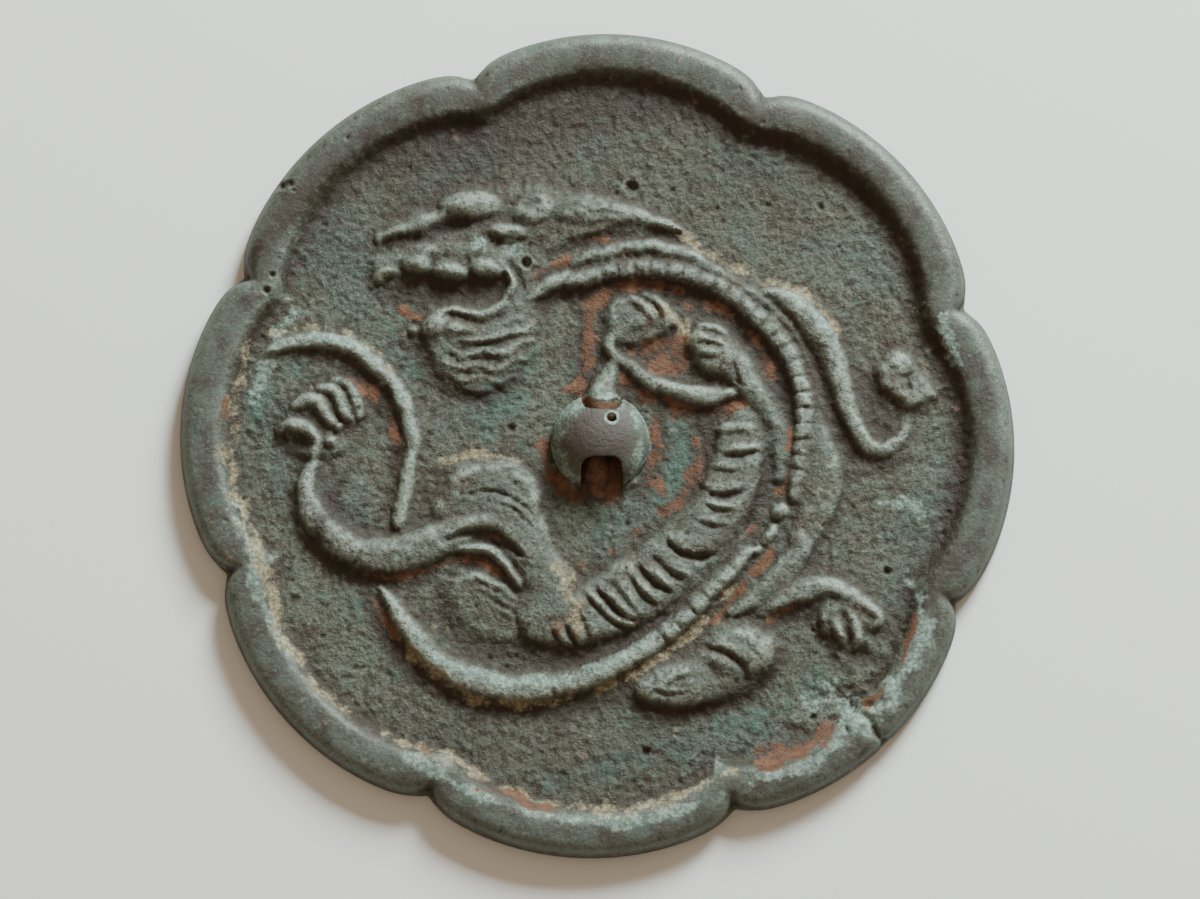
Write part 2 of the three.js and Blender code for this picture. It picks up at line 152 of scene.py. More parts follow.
def line_radius(angle, inset):
    """Radius of the line that runs inset millimetres in from the outline."""
    place = np.interp(inset, LINES_AT, np.arange(len(LINES_AT)))
    low = np.minimum(place.astype(int), len(LINES_AT) - 2)
    share = place - low
    near = np.choose(low, [look_up(table, angle) for table in line_tables[:-1]])
    far = np.choose(low, [look_up(table, angle) for table in line_tables[1:]])
    return near * (1 - share) + far * share - inset


print("outline radius from", outline.min().round(2), "to", outline.max().round(2), "mm")


# %% [markdown]
# The rim's section
#
# From the field the section climbs a short steep slope, rolls over a broad convex top and rounds
# down to the edge. It is given as [distance in from the edge, height above the resting face], and
# its points stand closer together where it bends.

# %% Section of the rim
FIELD_Z = 3.0
EDGE_Z = 2.2
SECTION = np.array([
    [11.0, FIELD_Z], [10.2, 3.02], [9.5, 3.1], [8.9, 3.36], [8.3, 3.9], [7.7, 4.65], [7.1, 5.36],
    [6.5, 5.76], [5.7, 5.94], [4.8, 6.0], [3.2, 5.98], [2.2, 5.84], [1.3, 5.42], [0.65, 4.7],
    [0.2, 3.6], [0.0, EDGE_Z],
])
SECTION_INSET, SECTION_Z = SECTION.T
foot_length = RADIUS - SECTION_INSET[0]
steps = np.hypot(np.diff(SECTION_INSET), np.diff(SECTION_Z))
section_length = np.concatenate([[0], np.cumsum(steps)])
print("section is", section_length[-1].round(1), "mm long over", SECTION_INSET[0], "mm")


# %% [markdown]
# The skin of the back
#
# A plain grid is the easiest mesh to press a relief into. Here the square grid is wrapped to the
# lobed outline: its square rings become rings of the mirror, spaced evenly along the section, so
# that the rim's slopes get as many rings as they need.

# %% Wrap a grid to the outline
GRID_STEPS = 520
bpy.ops.mesh.primitive_grid_add(x_subdivisions=GRID_STEPS, y_subdivisions=GRID_STEPS, size=2)
mirror = bpy.context.object
mirror.name = "mirror_casting"
sheet = read_points(mirror.data) * MM
across, up = sheet[:, 0], sheet[:, 1]
wide = np.abs(across) >= np.abs(up)
ring = np.where(wide, across, up)
slant = np.where(wide, up, across) / np.where(ring == 0, 1, ring)
angle = np.where(wide, slant * math.pi / 4, math.pi / 2 - slant * math.pi / 4)
angle = np.where(ring < 0, angle + math.pi, angle)
along_section = np.abs(ring) * (foot_length + section_length[-1]) - foot_length
inset = np.interp(along_section, section_length, SECTION_INSET)
rim_z = np.interp(along_section, section_length, SECTION_Z)
foot_radius = line_radius(angle, np.full_like(angle, SECTION_INSET[0]))
inside_foot = foot_radius * (along_section + foot_length) / foot_length
radius = np.where(along_section < 0, inside_foot, line_radius(angle, inset))
plan = np.column_stack([radius * np.cos(angle), radius * np.sin(angle)])
print("grid of", len(sheet), "points wrapped")


# %% [markdown]
# A tray of clay to press the relief in
#
# The founder cut the dragon in a model by hand, line by line. The same is done here on a square
# tray of height values. Each stroke follows a smooth line through a few points, written as
# [x, y, half width, height] in millimetres as they appear in a view from slightly below the
# vertical. A stroke is pressed up into a rounded roll or cut down into a groove. A boss is an oval
# lump, and a plate is a flat mass inside a line of corners.

# %% The tray and its strokes
CELL = 0.25
TRAY_HALF = 78.0
VIEW_TILT = math.radians(9)
tray_axis = np.arange(-TRAY_HALF, TRAY_HALF + CELL / 2, CELL)
tray_x, tray_y = np.meshgrid(tray_axis, tray_axis)
tray_side = len(tray_axis)
wave = np.hypot(*np.meshgrid(np.fft.rfftfreq(tray_side, CELL), np.fft.fftfreq(tray_side, CELL)))
whole_tray = (slice(None), slice(None))
relief = np.zeros_like(tray_x)
SHOULDER = 2.2  # a higher power keeps a form full for longer before it falls to its edge
FILLET_FROM = 0.6  # where both forms stand this high, the fillet between them is full
BEAD_GAP = 0.27
BEAD_PINCH = 0.1
GROOVE_TAPER = 0.8
NARROWEST = 0.12


def fade(share, fullness):
    """Height of a rounded form, from 1 at its middle to 0 at its edge."""
    return (1 - np.clip(share, 0, 1) ** SHOULDER) ** fullness


def blur(values, size):
    """Gaussian blur of a tray, by a size in millimetres."""
    soft = np.fft.rfft2(values) * np.exp(-2 * (math.pi * size * wave) ** 2)
    return np.fft.irfft2(soft, values.shape)


def smooth_line(points, spacing=0.5):
    """Catmull-Rom line through the points, with the view's tilt taken out of their places."""
    points = np.array(points, dtype=float)
    points[:, 1] = (points[:, 1] - points[:, 3] * math.sin(VIEW_TILT)) / math.cos(VIEW_TILT)
    padded = np.vstack([2 * points[0] - points[1], points, 2 * points[-1] - points[-2]])
    rows = []
    for a, b, c, d in zip(padded, padded[1:], padded[2:], padded[3:]):
        count = max(2, int(np.hypot(*(c - b)[:2]) / spacing))
        t = np.arange(count)[:, None] / count
        rows.append(0.5 * (2 * b + (c - a) * t + (2 * a - 5 * b + 4 * c - d) * t**2
                           + (3 * b - a - 3 * c + d) * t**3))
    return np.vstack([*rows, points[-1:]])


def trace(points, margin):
    """For the cells near a line: the window, distance, side, place along it, width and height."""
    line = smooth_line(points)
    reach = line[:, 2].max() + margin
    first = np.floor((line[:, :2].min(axis=0) - reach + TRAY_HALF) / CELL).astype(int)
    last = np.ceil((line[:, :2].max(axis=0) + reach + TRAY_HALF) / CELL).astype(int)
    window = (slice(max(first[1], 0), last[1] + 1), slice(max(first[0], 0), last[0] + 1))
    x, y = tray_x[window], tray_y[window]
    nearest = np.full(x.shape, np.inf)
    place = np.zeros_like(x)
    side = np.ones_like(x)
    for i, (start, end) in enumerate(zip(line[:, :2], line[1:, :2])):
        step = end - start
        share = ((x - start[0]) * step[0] + (y - start[1]) * step[1]) / max(step @ step, 1e-9)
        share = np.clip(share, 0, 1)
        dx = x - start[0] - share * step[0]
        dy = y - start[1] - share * step[1]
        distance = dx * dx + dy * dy
        closer = distance < nearest
        nearest = np.where(closer, distance, nearest)
        place = np.where(closer, i + share, place)
        side = np.where(closer, np.sign(step[0] * dy - step[1] * dx), side)
    knots = np.arange(len(line))
    length = np.concatenate([[0], np.cumsum(np.hypot(*np.diff(line[:, :2], axis=0).T))])
    width = np.interp(place, knots, line[:, 2])
    height = np.interp(place, knots, line[:, 3])
    return window, np.sqrt(nearest), side, np.interp(place, knots, length), width, height


def blend_up(window, height, blend):
    """Joins a form to what is there, with a small fillet where both stand up."""
    old = relief[window]
    fillet = blend * np.clip(np.minimum(old, height) / FILLET_FROM, 0, 1) + 1e-6
    share = np.clip(0.5 + 0.5 * (height - old) / fillet, 0, 1)
    relief[window] = old * (1 - share) + height * share + fillet * share * (1 - share)


def roll(points, lean=0.0, fullness=0.6, beads=None, blend=0.35):
    """Presses up a rounded roll. Lean makes one side steeper. Beads are (pitch, depth, from, to)."""
    window, distance, side, along, width, height = trace(points, 1.0)
    if beads:
        pitch, depth, begin, stop = beads
        phase = (along / pitch + 0.5) % 1 - 0.5
        gap = np.exp(-((phase * pitch / BEAD_GAP) ** 2)) * ((along > begin) & (along < stop))
        height = height * (1 - depth * gap)
        width = width * (1 - BEAD_PINCH * depth * gap)
    reach = width * (1 + lean * side)
    blend_up(window, height * fade(distance / np.maximum(reach, 0.05), fullness), blend)


def groove(points, lip=0.0):
    """Cuts a groove of the points' half width, to their height as a depth. A lip stands up beside."""
    sunk = [[x, y, width, 0] for x, y, width, depth in points]
    window, distance, side, along, width, _ = trace(sunk, 2.5)
    depths = np.interp(along / max(along.max(), 1e-6), np.linspace(0, 1, len(points)),
                       [depth for *_, depth in points])
    taper = np.clip(np.minimum(along, along.max() - along) / GROOVE_TAPER, 0, 1) ** 0.6
    width = np.maximum(width, NARROWEST)
    cut = depths * np.exp(-((distance / width) ** 2)) * np.maximum(taper, 0.2)
    ridge = lip * np.exp(-(((distance * side - 2.1 * width) / (1.4 * width)) ** 2)) * taper
    relief[window] += ridge - cut


def boss(x, y, half_length, half_width, height, turn=0.0, fullness=0.6, blend=0.3):
    """Presses up an oval boss, long along the turn in degrees."""
    cos, sin = math.cos(math.radians(turn)), math.sin(math.radians(turn))
    from_x = tray_x - x
    from_y = tray_y - (y - height * math.sin(VIEW_TILT)) / math.cos(VIEW_TILT)
    share = np.hypot((from_x * cos + from_y * sin) / half_length,
                     (from_y * cos - from_x * sin) / half_width)
    blend_up(whole_tray, height * fade(share, fullness), blend)


def area(corners, edge):
    """Share of each cell that lies inside a line of corners, with a soft edge."""
    corners = np.array(corners, dtype=float)
    corners[:, 1] = (corners[:, 1] - math.sin(VIEW_TILT)) / math.cos(VIEW_TILT)
    inside = np.zeros(relief.shape, dtype=bool)
    for (ax, ay), (bx, by) in zip(corners, np.roll(corners, -1, axis=0)):
        spans = (ay > tray_y) != (by > tray_y)
        inside ^= spans & (tray_x < ax + (bx - ax) * (tray_y - ay) / (by - ay + 1e-9))
    return np.clip(blur(inside.astype(float), edge), 0, 1)


def plate(corners, height, edge=0.6):
    """Presses up a flat mass that joins the strokes on it."""
    blend_up(whole_tray, height * area(corners, edge), 0.3)


print("tray of", relief.shape, "cells of", CELL, "mm")


# %% [markdown]
# The head
#
# The dragon faces left with its mouth open. Its brow is the highest boss of the head. A nose bar
# runs out along the muzzle, and the upper lip ends in three rounded curls over the open mouth.
# Under the lower jaw hang the strands of a beard, and a horn with a mane sweeps back.

# %% Press the head
plate([(-38.6, 37.2), (-38, 39.6), (-33, 41.6), (-28.6, 42.6), (-26.6, 45), (-21, 46.4), (-17, 45),
       (-13.6, 46.4), (-8, 46), (-2, 45), (6, 43.6), (13, 39.6), (8, 38.4), (0, 37.6), (-5, 36.4),
       (-9, 33.6), (-11.6, 31), (-13.2, 27.6), (-16.4, 29.8), (-20, 30.6), (-30, 31.6), (-36, 31),
       (-40.4, 30.6), (-40.4, 33.4), (-37.6, 34.6)], 1.2)
plate([(-31, 35), (-28.6, 41), (-20, 43.6), (-12, 43), (-6, 41), (-8, 37), (-14, 34.6), (-22, 33.6)], 1.7,
      0.9)
roll([[-37, 36.5, 2.6, 0.25], [-30, 37, 3.6, 0.35], [-22, 37.6, 4.4, 0.6], [-13, 38.6, 5.4, 1.0],
      [-6, 39.2, 4.6, 1.1]], fullness=0.9)
roll([[-19.5, 35.4, 2.4, 1.1], [-14, 35, 4.2, 1.3], [-12.6, 31.5, 4.2, 1.35], [-13.4, 27, 2.6, 1.1]])
roll([[-39, 37, 1.0, 1.1], [-35.6, 38.2, 1.8, 1.7], [-32, 39.2, 2.2, 2.1], [-28, 40.6, 2.4, 2.4],
      [-25, 41.8, 2.2, 2.4]], fullness=0.5)
boss(-35.9, 38.2, 3.0, 1.6, 2.2, 14)
boss(-31, 39.9, 2.2, 1.9, 2.5, 20)
boss(-22.7, 43.0, 6.4, 3.1, 3.4, 4, fullness=0.45)
boss(-16.3, 38.4, 4.1, 1.9, 2.9, -6, fullness=0.45)
groove([[-21.4, 36.9, 0.6, 0.5], [-17.4, 36.1, 0.8, 0.8], [-12.8, 36.6, 0.6, 0.5]])
groove([[-30.4, 37.6, 0.9, 0.6], [-27, 39, 1.3, 1.1], [-22.6, 39.6, 1.0, 0.8]])
groove([[-39.4, 35.8, 0.8, 0.4], [-34, 36.6, 1.0, 0.6], [-30, 36.4, 0.8, 0.4]])
boss(-11.3, 42.2, 4.8, 3.3, 2.9, 12, fullness=0.5)
boss(-15.6, 42.2, 1.6, 1.2, 1.7, 60)
groove([[-13.6, 42.2, 0.6, 0.5], [-11.8, 42.9, 0.7, 1.0], [-9.8, 43.3, 0.5, 0.6]])
groove([[-15.9, 40.3, 0.5, 0.7], [-14.6, 40.1, 0.5, 0.6]])
roll([[-8, 42, 2.8, 1.9], [-2.4, 41.8, 3.5, 2.4], [3, 41.5, 2.7, 2.3], [8, 40.8, 1.7, 2.0],
      [12, 39.5, 1.1, 1.5], [15.4, 38.2, 0.5, 0.8]], lean=0.12)
roll([[-6, 38.4, 2.2, 1.5], [-2, 38.6, 1.4, 1.6], [2.5, 39.6, 0.9, 1.8]])
groove([[-4.6, 40.6, 0.5, 0.35], [0.2, 41.2, 0.5, 0.3], [4.8, 41, 0.4, 0.25]])
print("brow is", relief.max().round(2), "mm high")


# %% [markdown]
# The mouth, the beard and the curls of the lip
#
# Small forms read best with clear gaps between them, so each curl is its own boss, and the gaps
# are cut again after the bosses are pressed. The open mouth is cleared down to the field before
# the jaw and the beard are pressed below it.

# %% Press the lips, the jaw and the beard
roll([[-39, 31.6, 1.4, 1.1], [-36.4, 33, 2.0, 1.8], [-33, 34.2, 2.6, 2.3], [-29, 34.4, 2.9, 2.4],
      [-25, 34.4, 2.9, 2.3], [-21, 34.6, 2.9, 2.2], [-17.8, 33.6, 2.2, 2.0]])
boss(-37.9, 30.7, 2.8, 1.9, 1.9, 20)
boss(-32.4, 32.8, 3.0, 3.2, 2.9, 40, fullness=0.45)
boss(-26.6, 31.4, 3.6, 2.4, 3.1, -12, fullness=0.45)
boss(-20.2, 32, 4.1, 2.0, 2.8, -10, fullness=0.45)
groove([[-30.1, 34.6, 0.4, 0.3], [-29.4, 32, 0.4, 0.6]])
groove([[-23.6, 34.2, 0.4, 0.3], [-23.3, 31.6, 0.4, 0.6]])
roll([[-17.4, 33, 0.9, 2.2], [-15.9, 31, 0.9, 2.2], [-15.2, 29, 0.9, 2.1],
      [-16.2, 27, 0.9, 1.9], [-18.6, 25.4, 0.9, 1.8]])
groove([[-16.2, 32.2, 0.45, 0.7], [-14.3, 29.9, 0.5, 0.9], [-13.4, 27.2, 0.45, 0.8]])
relief *= 1 - area([(-38.6, 29.8), (-34, 30.6), (-29.6, 30), (-24, 29.2), (-19, 29.6), (-16.4, 28.6),
                    (-17.4, 25.6), (-21, 24), (-26, 24.8), (-31, 23.6), (-34, 22.6), (-37.4, 25)], 0.5)
plate([(-32, 20.4), (-31.4, 23.4), (-28, 24.6), (-22, 23.8), (-18, 25.2), (-14, 27.4), (-11.4, 25.4),
       (-10.4, 21.6), (-12, 18), (-14.6, 13.6), (-18, 10.6), (-22.6, 9.6), (-26.6, 10.8), (-29, 14),
       (-29.8, 17.4)], 1.4, 0.9)
boss(-28.8, 21.8, 3.2, 2.3, 2.4, 25, fullness=0.45)
roll([[-28.4, 23.6, 0.9, 1.9], [-25.3, 24.1, 0.9, 1.9], [-21.9, 23.4, 0.85, 1.8],
      [-19.2, 23.9, 0.9, 1.8], [-16.6, 25.4, 0.9, 1.8]])
roll([[-28.6, 20.2, 1.5, 1.7], [-25.8, 20.9, 1.8, 2.1], [-22.4, 20.1, 1.6, 1.9],
      [-19.4, 20.2, 1.4, 1.8], [-16.4, 21.6, 1.4, 1.9], [-13.6, 22.4, 1.2, 1.7],
      [-11, 22.8, 0.8, 1.0]])
groove([[-28.6, 22.1, 0.3, 0.5], [-26.2, 22.9, 0.35, 0.7], [-22.8, 22, 0.4, 0.8],
        [-20.4, 21.6, 0.4, 0.8], [-18.2, 22.4, 0.4, 0.7], [-15.6, 23.8, 0.4, 0.6]])
boss(-32.9, 20.6, 1.3, 1.0, 0.9)
roll([[-26.5, 16.6, 3.0, 0.5], [-20, 15.4, 4.6, 0.8], [-12.5, 17.6, 3.4, 0.6]], fullness=1.0)
BEARD_STRANDS = [
    [[-26.4, 20.8, 0.9, 1.5], [-23.6, 18.6, 1.3, 2.0], [-20, 18.8, 1.3, 2.2], [-16.4, 19.8, 1.4, 2.2],
     [-13, 20.4, 1.1, 2.0], [-11, 22, 0.5, 1.2]],
    [[-28, 18.6, 0.8, 1.4], [-24.4, 15.8, 1.2, 2.0], [-20.6, 16.6, 1.1, 2.0], [-17, 16.2, 1.3, 2.1],
     [-13.6, 18.2, 1.0, 1.7], [-11.4, 18.6, 0.6, 1.2]],
    [[-28.8, 16.6, 0.8, 1.3], [-25.6, 13.6, 1.3, 1.8], [-22, 14.2, 1.0, 1.8], [-18.2, 13.4, 1.2, 1.8],
     [-15, 15.2, 0.9, 1.5], [-13, 15.2, 0.5, 1.1]],
    [[-28, 14.2, 0.7, 1.2], [-24.8, 11.6, 1.2, 1.6], [-21, 12, 0.9, 1.5], [-17.6, 11.2, 0.9, 1.4],
     [-14.8, 12.4, 0.5, 0.9]],
    [[-26.2, 12, 0.6, 1.0], [-22.8, 9.9, 0.9, 1.2], [-19, 9.8, 0.6, 1.0]],
]
for strand in BEARD_STRANDS:
    roll(strand, blend=0.12)
BEARD_GROOVES = [
    [[-25.4, 18.2, 0.22, 0.3], [-20.6, 17.4, 0.25, 0.5], [-15.8, 18.2, 0.2, 0.4]],
    [[-26.8, 16, 0.22, 0.3], [-22, 14.9, 0.25, 0.5], [-17.4, 15.2, 0.2, 0.4]],
    [[-26.4, 13.4, 0.22, 0.3], [-22.4, 12.4, 0.25, 0.5], [-18.2, 12.6, 0.2, 0.3]],
]
for line in BEARD_GROOVES:
    groove(line)
print("head is", relief.max().round(2), "mm high, with", len(BEARD_STRANDS), "strands of beard")


# %% [markdown]
# Neck, back and flank
#
# A ridge follows the back all the way round. Small beads run along the neck and turn the corner
# at the right. Under the belly the ridge starts with wide, shallow beads and then runs on smooth to
# a point. Beside it lie the smooth outer muscle of the neck and the flat band of the flank.

# %% Press the back
roll([[-8, 32, 3.0, 0.7], [0, 33.4, 3.2, 0.8], [12, 33.8, 3.2, 0.8], [22, 30.2, 3.0, 0.8],
      [30, 24.8, 3.0, 0.8], [36, 17, 3.0, 0.8], [38.6, 8, 2.6, 0.8], [39, 1, 3.0, 0.8],
      [37.6, -9, 3.6, 0.7], [33.4, -17, 3.4, 0.6], [27, -25, 3.0, 0.5]], fullness=1.0)
roll([[-4.6, 32.6, 0.9, 1.0], [0.6, 34.2, 1.4, 1.5], [5, 35.3, 1.55, 1.6], [9.6, 35.6, 1.55, 1.6],
      [15, 34.6, 1.5, 1.6], [19.6, 32.4, 1.35, 1.5], [25, 28.9, 1.1, 1.4], [29.6, 25.9, 1.1, 1.4],
      [33.2, 22.4, 1.0, 1.3], [36.2, 18.4, 0.9, 1.2], [38.5, 13, 0.8, 1.1]])
roll([[-12.8, 25.9, 1.2, 1.3], [-9.6, 28.2, 1.6, 1.9], [-5.2, 30.2, 1.6, 2.0]], blend=0.2)
groove([[-6.2, 31.8, 0.35, 0.6], [-9, 30.6, 0.35, 0.7], [-11.4, 28.9, 0.35, 0.6]])
roll([[-4.8, 29.2, 1.7, 2.0], [0, 30.2, 1.9, 2.2], [5, 31.2, 2.0, 2.3], [10.2, 31.3, 2.0, 2.3],
      [15, 30.7, 2.0, 2.3], [20, 29, 2.0, 2.3], [24.4, 26.4, 2.0, 2.3], [28, 23.4, 2.05, 2.3],
      [31.2, 20.4, 2.1, 2.3], [33.8, 17, 2.1, 2.3], [35.7, 13, 2.1, 2.3],
      [36.9, 8.3, 2.1, 2.2], [37.1, 3.5, 2.1, 2.2], [36.7, -2, 2.1, 2.1], [36, -6, 1.9, 1.9],
      [35.4, -9.4, 1.3, 1.4]], lean=0.1, fullness=0.42, beads=(2.9, 0.26, 4, 80), blend=0.2)
roll([[39, 5, 1.6, 1.1], [40, 0, 2.8, 1.7], [40.5, -4.5, 3.5, 1.9], [40.2, -9, 3.7, 2.0],
      [38.8, -13, 3.3, 1.9], [36.8, -17, 2.5, 1.7]], fullness=0.4)
roll([[37.4, -17.4, 1.9, 1.7], [35, -21.2, 2.4, 1.8], [31.6, -25, 2.4, 1.7], [27.8, -28, 2.0, 1.5],
      [24.2, -30.2, 1.2, 0.9]], fullness=0.45)
boss(32.7, -12.1, 1.9, 1.5, 1.7, 40)
boss(30.9, -16.3, 2.6, 1.25, 2.0, 58)
boss(28.4, -19.2, 1.7, 1.0, 1.5, 25)
groove([[38.2, -9.4, 0.5, 0.8], [38.3, -10.2, 0.4, 0.6]])
roll([[27, -19.8, 1.5, 1.8], [23.6, -23.6, 1.9, 2.2], [19, -28, 2.1, 2.3], [14.4, -32.6, 2.3, 2.3],
      [9.5, -36.5, 2.4, 2.3], [4.5, -39.6, 2.5, 2.3], [-1, -42, 2.6, 2.3], [-6.5, -43.6, 2.6, 2.3],
      [-13, -44.4, 2.8, 2.3], [-20, -43.8, 2.8, 2.3], [-25.2, -41.9, 2.8, 2.3],
      [-29.5, -38.9, 2.6, 2.3], [-32.6, -35.4, 2.4, 2.2], [-35.5, -31.4, 1.9, 2.1],
      [-37.6, -28, 1.3, 1.7], [-39, -25.6, 0.5, 1.1]], lean=-0.28, beads=(3.6, 0.2, 1.5, 22))
print("back is", relief.max().round(2), "mm high")


# %% [markdown]
# The belly
#
# The belly is a thick body with deep folds across it, and the skin swells a little between them. So
# low lumps are pressed on the body first. Each fold has a sharp slit and a lip beside it that
# catches the light, so the slits are cut with a raised lip.

# %% Press the belly and cut its folds
roll([[26.2, 4.6, 2.6, 1.5], [25.9, 1, 4.4, 2.1], [25, -4, 5.0, 2.3], [23.2, -9.5, 5.4, 2.4],
      [19.6, -15.4, 6.2, 2.5], [14.6, -20.6, 6.6, 2.6], [8.4, -25, 6.4, 2.7], [1.6, -28.8, 6.0, 2.7],
      [-4.4, -31, 5.4, 2.6], [-9.4, -30.4, 5.4, 2.6]], fullness=0.5)
roll([[24.6, -17, 3.0, 1.2], [20, -22.6, 3.0, 1.2], [13, -28.6, 2.6, 1.1]], fullness=0.9)
BELLY_LUMPS = [
    (25.4, 2.9, 4.2, 1.5, 2.2, 2), (25.6, -0.6, 4.7, 1.9, 2.5, 2), (24.6, -3.9, 4.6, 1.6, 2.5, -4),
    (23.4, -7.3, 5.2, 2.2, 2.7, -4), (22.2, -10.9, 5.0, 1.7, 2.7, -8), (20.8, -13.7, 5.0, 1.6, 2.7, -8),
    (17.4, -17.4, 5.4, 2.1, 3.0, -14), (14.8, -22, 4.8, 1.5, 2.9, -35), (11.4, -24, 5.0, 1.4, 3.0, -46),
    (8.7, -26.4, 5.0, 1.3, 3.0, -50), (5.9, -27.8, 4.8, 1.2, 2.9, -50), (3.5, -29.2, 5.0, 1.2, 3.0, -46),
    (0.9, -30.4, 4.8, 1.2, 2.9, -48),
]
for lump in BELLY_LUMPS:
    boss(*lump, fullness=0.5)
FOLDS = [
    ([[22.2, 1.0, 0.3, 0.3], [25.4, 1.4, 0.4, 0.5], [28.2, 1.0, 0.3, 0.3]], 0.15),
    ([[22.4, -2.6, 0.3, 0.7], [25.3, -2.4, 0.45, 1.4], [28.9, -1.8, 0.3, 0.8]], 0.3),
    ([[20, -4.7, 0.3, 0.5], [22.8, -5.5, 0.4, 0.7], [25.4, -5.0, 0.3, 0.4]], 0.2),
    ([[19.6, -9.2, 0.35, 0.9], [22.4, -9.9, 0.5, 1.5], [26.4, -8.7, 0.35, 1.0]], 0.35),
    ([[18.6, -11.2, 0.3, 0.5], [21.4, -12.4, 0.4, 0.7], [24.6, -12.2, 0.3, 0.4]], 0.2),
    ([[17, -13.6, 0.3, 0.4], [20, -15.2, 0.4, 0.6], [23.6, -15.4, 0.3, 0.4]], 0.2),
    ([[12.2, -17.4, 0.4, 1.0], [13.8, -19.5, 0.5, 1.6], [16.8, -20.8, 0.55, 1.8],
      [19.4, -20.7, 0.5, 1.4], [21.6, -19.9, 0.35, 0.8]], 0.45),
    ([[9.8, -20.2, 0.35, 0.7], [12.6, -23.4, 0.45, 1.1], [15.8, -25, 0.4, 0.9]], 0.25),
    ([[7.1, -21.9, 0.4, 1.0], [9.8, -25.2, 0.5, 1.7], [13.6, -27, 0.4, 1.2]], 0.45),
    ([[5.2, -23.8, 0.35, 0.8], [7.8, -27.4, 0.45, 1.2], [11.2, -29.6, 0.5, 1.2]], 0.3),
    ([[2.2, -24.4, 0.3, 0.4], [4.6, -28, 0.4, 0.7], [7.6, -30.6, 0.3, 0.5]], 0.2),
    ([[-0.6, -26.2, 0.4, 1.0], [2.4, -29.2, 0.5, 1.7], [5.1, -31.4, 0.5, 1.6],
      [7.2, -31.9, 0.3, 0.8]], 0.45),
    ([[-2.8, -26.7, 0.35, 0.8], [0, -30.2, 0.45, 1.4], [3, -32.6, 0.45, 1.3],
      [6.6, -33.7, 0.3, 0.7]], 0.35),
    ([[-3.6, -30.6, 0.3, 0.4], [-1.2, -35.2, 0.3, 0.5]], 0.2),
    ([[-5.8, -32.6, 0.4, 0.9], [-4.6, -35, 0.45, 1.4], [-3.2, -36.6, 0.35, 0.8]], 0.4),
    ([[-8.4, -33.2, 0.35, 0.7], [-7, -35.5, 0.4, 1.1], [-6, -36.6, 0.3, 0.6]], 0.3),
]
FOLD_WIDTH, FOLD_DEPTH = 1.15, 0.7
for line, lip in FOLDS:
    groove([[x, y, width * FOLD_WIDTH, depth * FOLD_DEPTH] for x, y, width, depth in line],
           lip * FOLD_DEPTH)
print(len(FOLDS), "folds cut")


# %% [markdown]
# The fore legs
#
# Each leg starts in a swelling muscle and thins to the wrist. The inner leg bends under the neck to
# a paw with three hooked toes, and a thick root joins that paw to the knob. The outer leg leaves
# the neck at the right and curls up to a paw that is worn down to separate lumps.

# %% Press the fore legs
roll([[32.9, -6, 1.4, 0.9], [33.3, -2, 2.0, 1.2], [32.8, 1.6, 2.2, 1.3], [31.2, 5.4, 2.4, 1.5],
      [28.8, 9, 2.7, 1.8], [26.4, 12, 3.2, 2.2], [24.2, 14.4, 3.9, 2.5], [21.4, 16.6, 4.5, 2.7],
      [19.2, 18.6, 3.4, 2.5]], fullness=0.75)
boss(20.8, 20.6, 3.4, 1.7, 2.5, -12)
SHOULDER_LINES = [
    [[18.2, 20.2, 0.4, 0.3], [20.6, 20.1, 0.5, 0.7], [23, 19.3, 0.4, 0.3]],
    [[17.8, 17.8, 0.4, 0.3], [20, 17.6, 0.5, 0.7], [22.6, 16.9, 0.4, 0.3]],
    [[18, 15.6, 0.4, 0.3], [19.8, 15.3, 0.45, 0.6], [21.6, 14.8, 0.4, 0.3]],
]
for line in SHOULDER_LINES:
    groove(line, 0.15)
groove([[24.2, 14.4, 0.3, 0.5], [25.2, 10.9, 0.4, 0.8], [26.4, 10, 0.35, 0.6]])
roll([[24.2, 9.2, 1.2, 1.7], [20, 8.8, 2.0, 2.1], [16, 9.2, 2.0, 2.1], [12, 10.4, 1.7, 2.0],
      [8, 12.5, 1.4, 1.9], [4.6, 15.2, 1.3, 1.8], [2.2, 17.2, 1.3, 1.7], [2.6, 19, 1.4, 1.7],
      [5, 20.6, 1.8, 1.9], [7.4, 22, 2.4, 2.2]], lean=0.1)
plate([(1.3, 24), (3, 26.2), (8, 26.8), (11.4, 25.2), (13.9, 23), (13.4, 20.6), (9.8, 18.4), (5, 17.4),
       (2, 18.4), (1.6, 21)], 1.5, 0.5)
roll([[3.4, 23.9, 1.0, 1.4], [5.4, 23.4, 1.5, 1.9], [8, 22.4, 1.9, 2.2]])
roll([[5.8, 26.2, 1.0, 1.6], [7.8, 25.4, 1.4, 2.3], [9.6, 23.6, 1.5, 2.3], [10, 21.8, 1.2, 1.9]])
roll([[8.6, 26.8, 0.9, 1.5], [11, 25.4, 1.3, 2.2], [12.4, 23.2, 1.4, 2.2], [12.2, 21.4, 1.1, 1.8]])
boss(13.2, 22.4, 1.6, 1.4, 2.0)
groove([[9.6, 25.6, 0.3, 0.7], [10.9, 24, 0.35, 0.8], [11.2, 22.4, 0.3, 0.5]])
roll([[2.8, 14.6, 1.6, 1.4], [2.2, 12.6, 2.1, 1.8], [1.4, 10.6, 2.8, 2.6], [1.0, 8.6, 3.3, 3.5],
      [0.9, 6.6, 3.2, 3.9]], fullness=0.6)
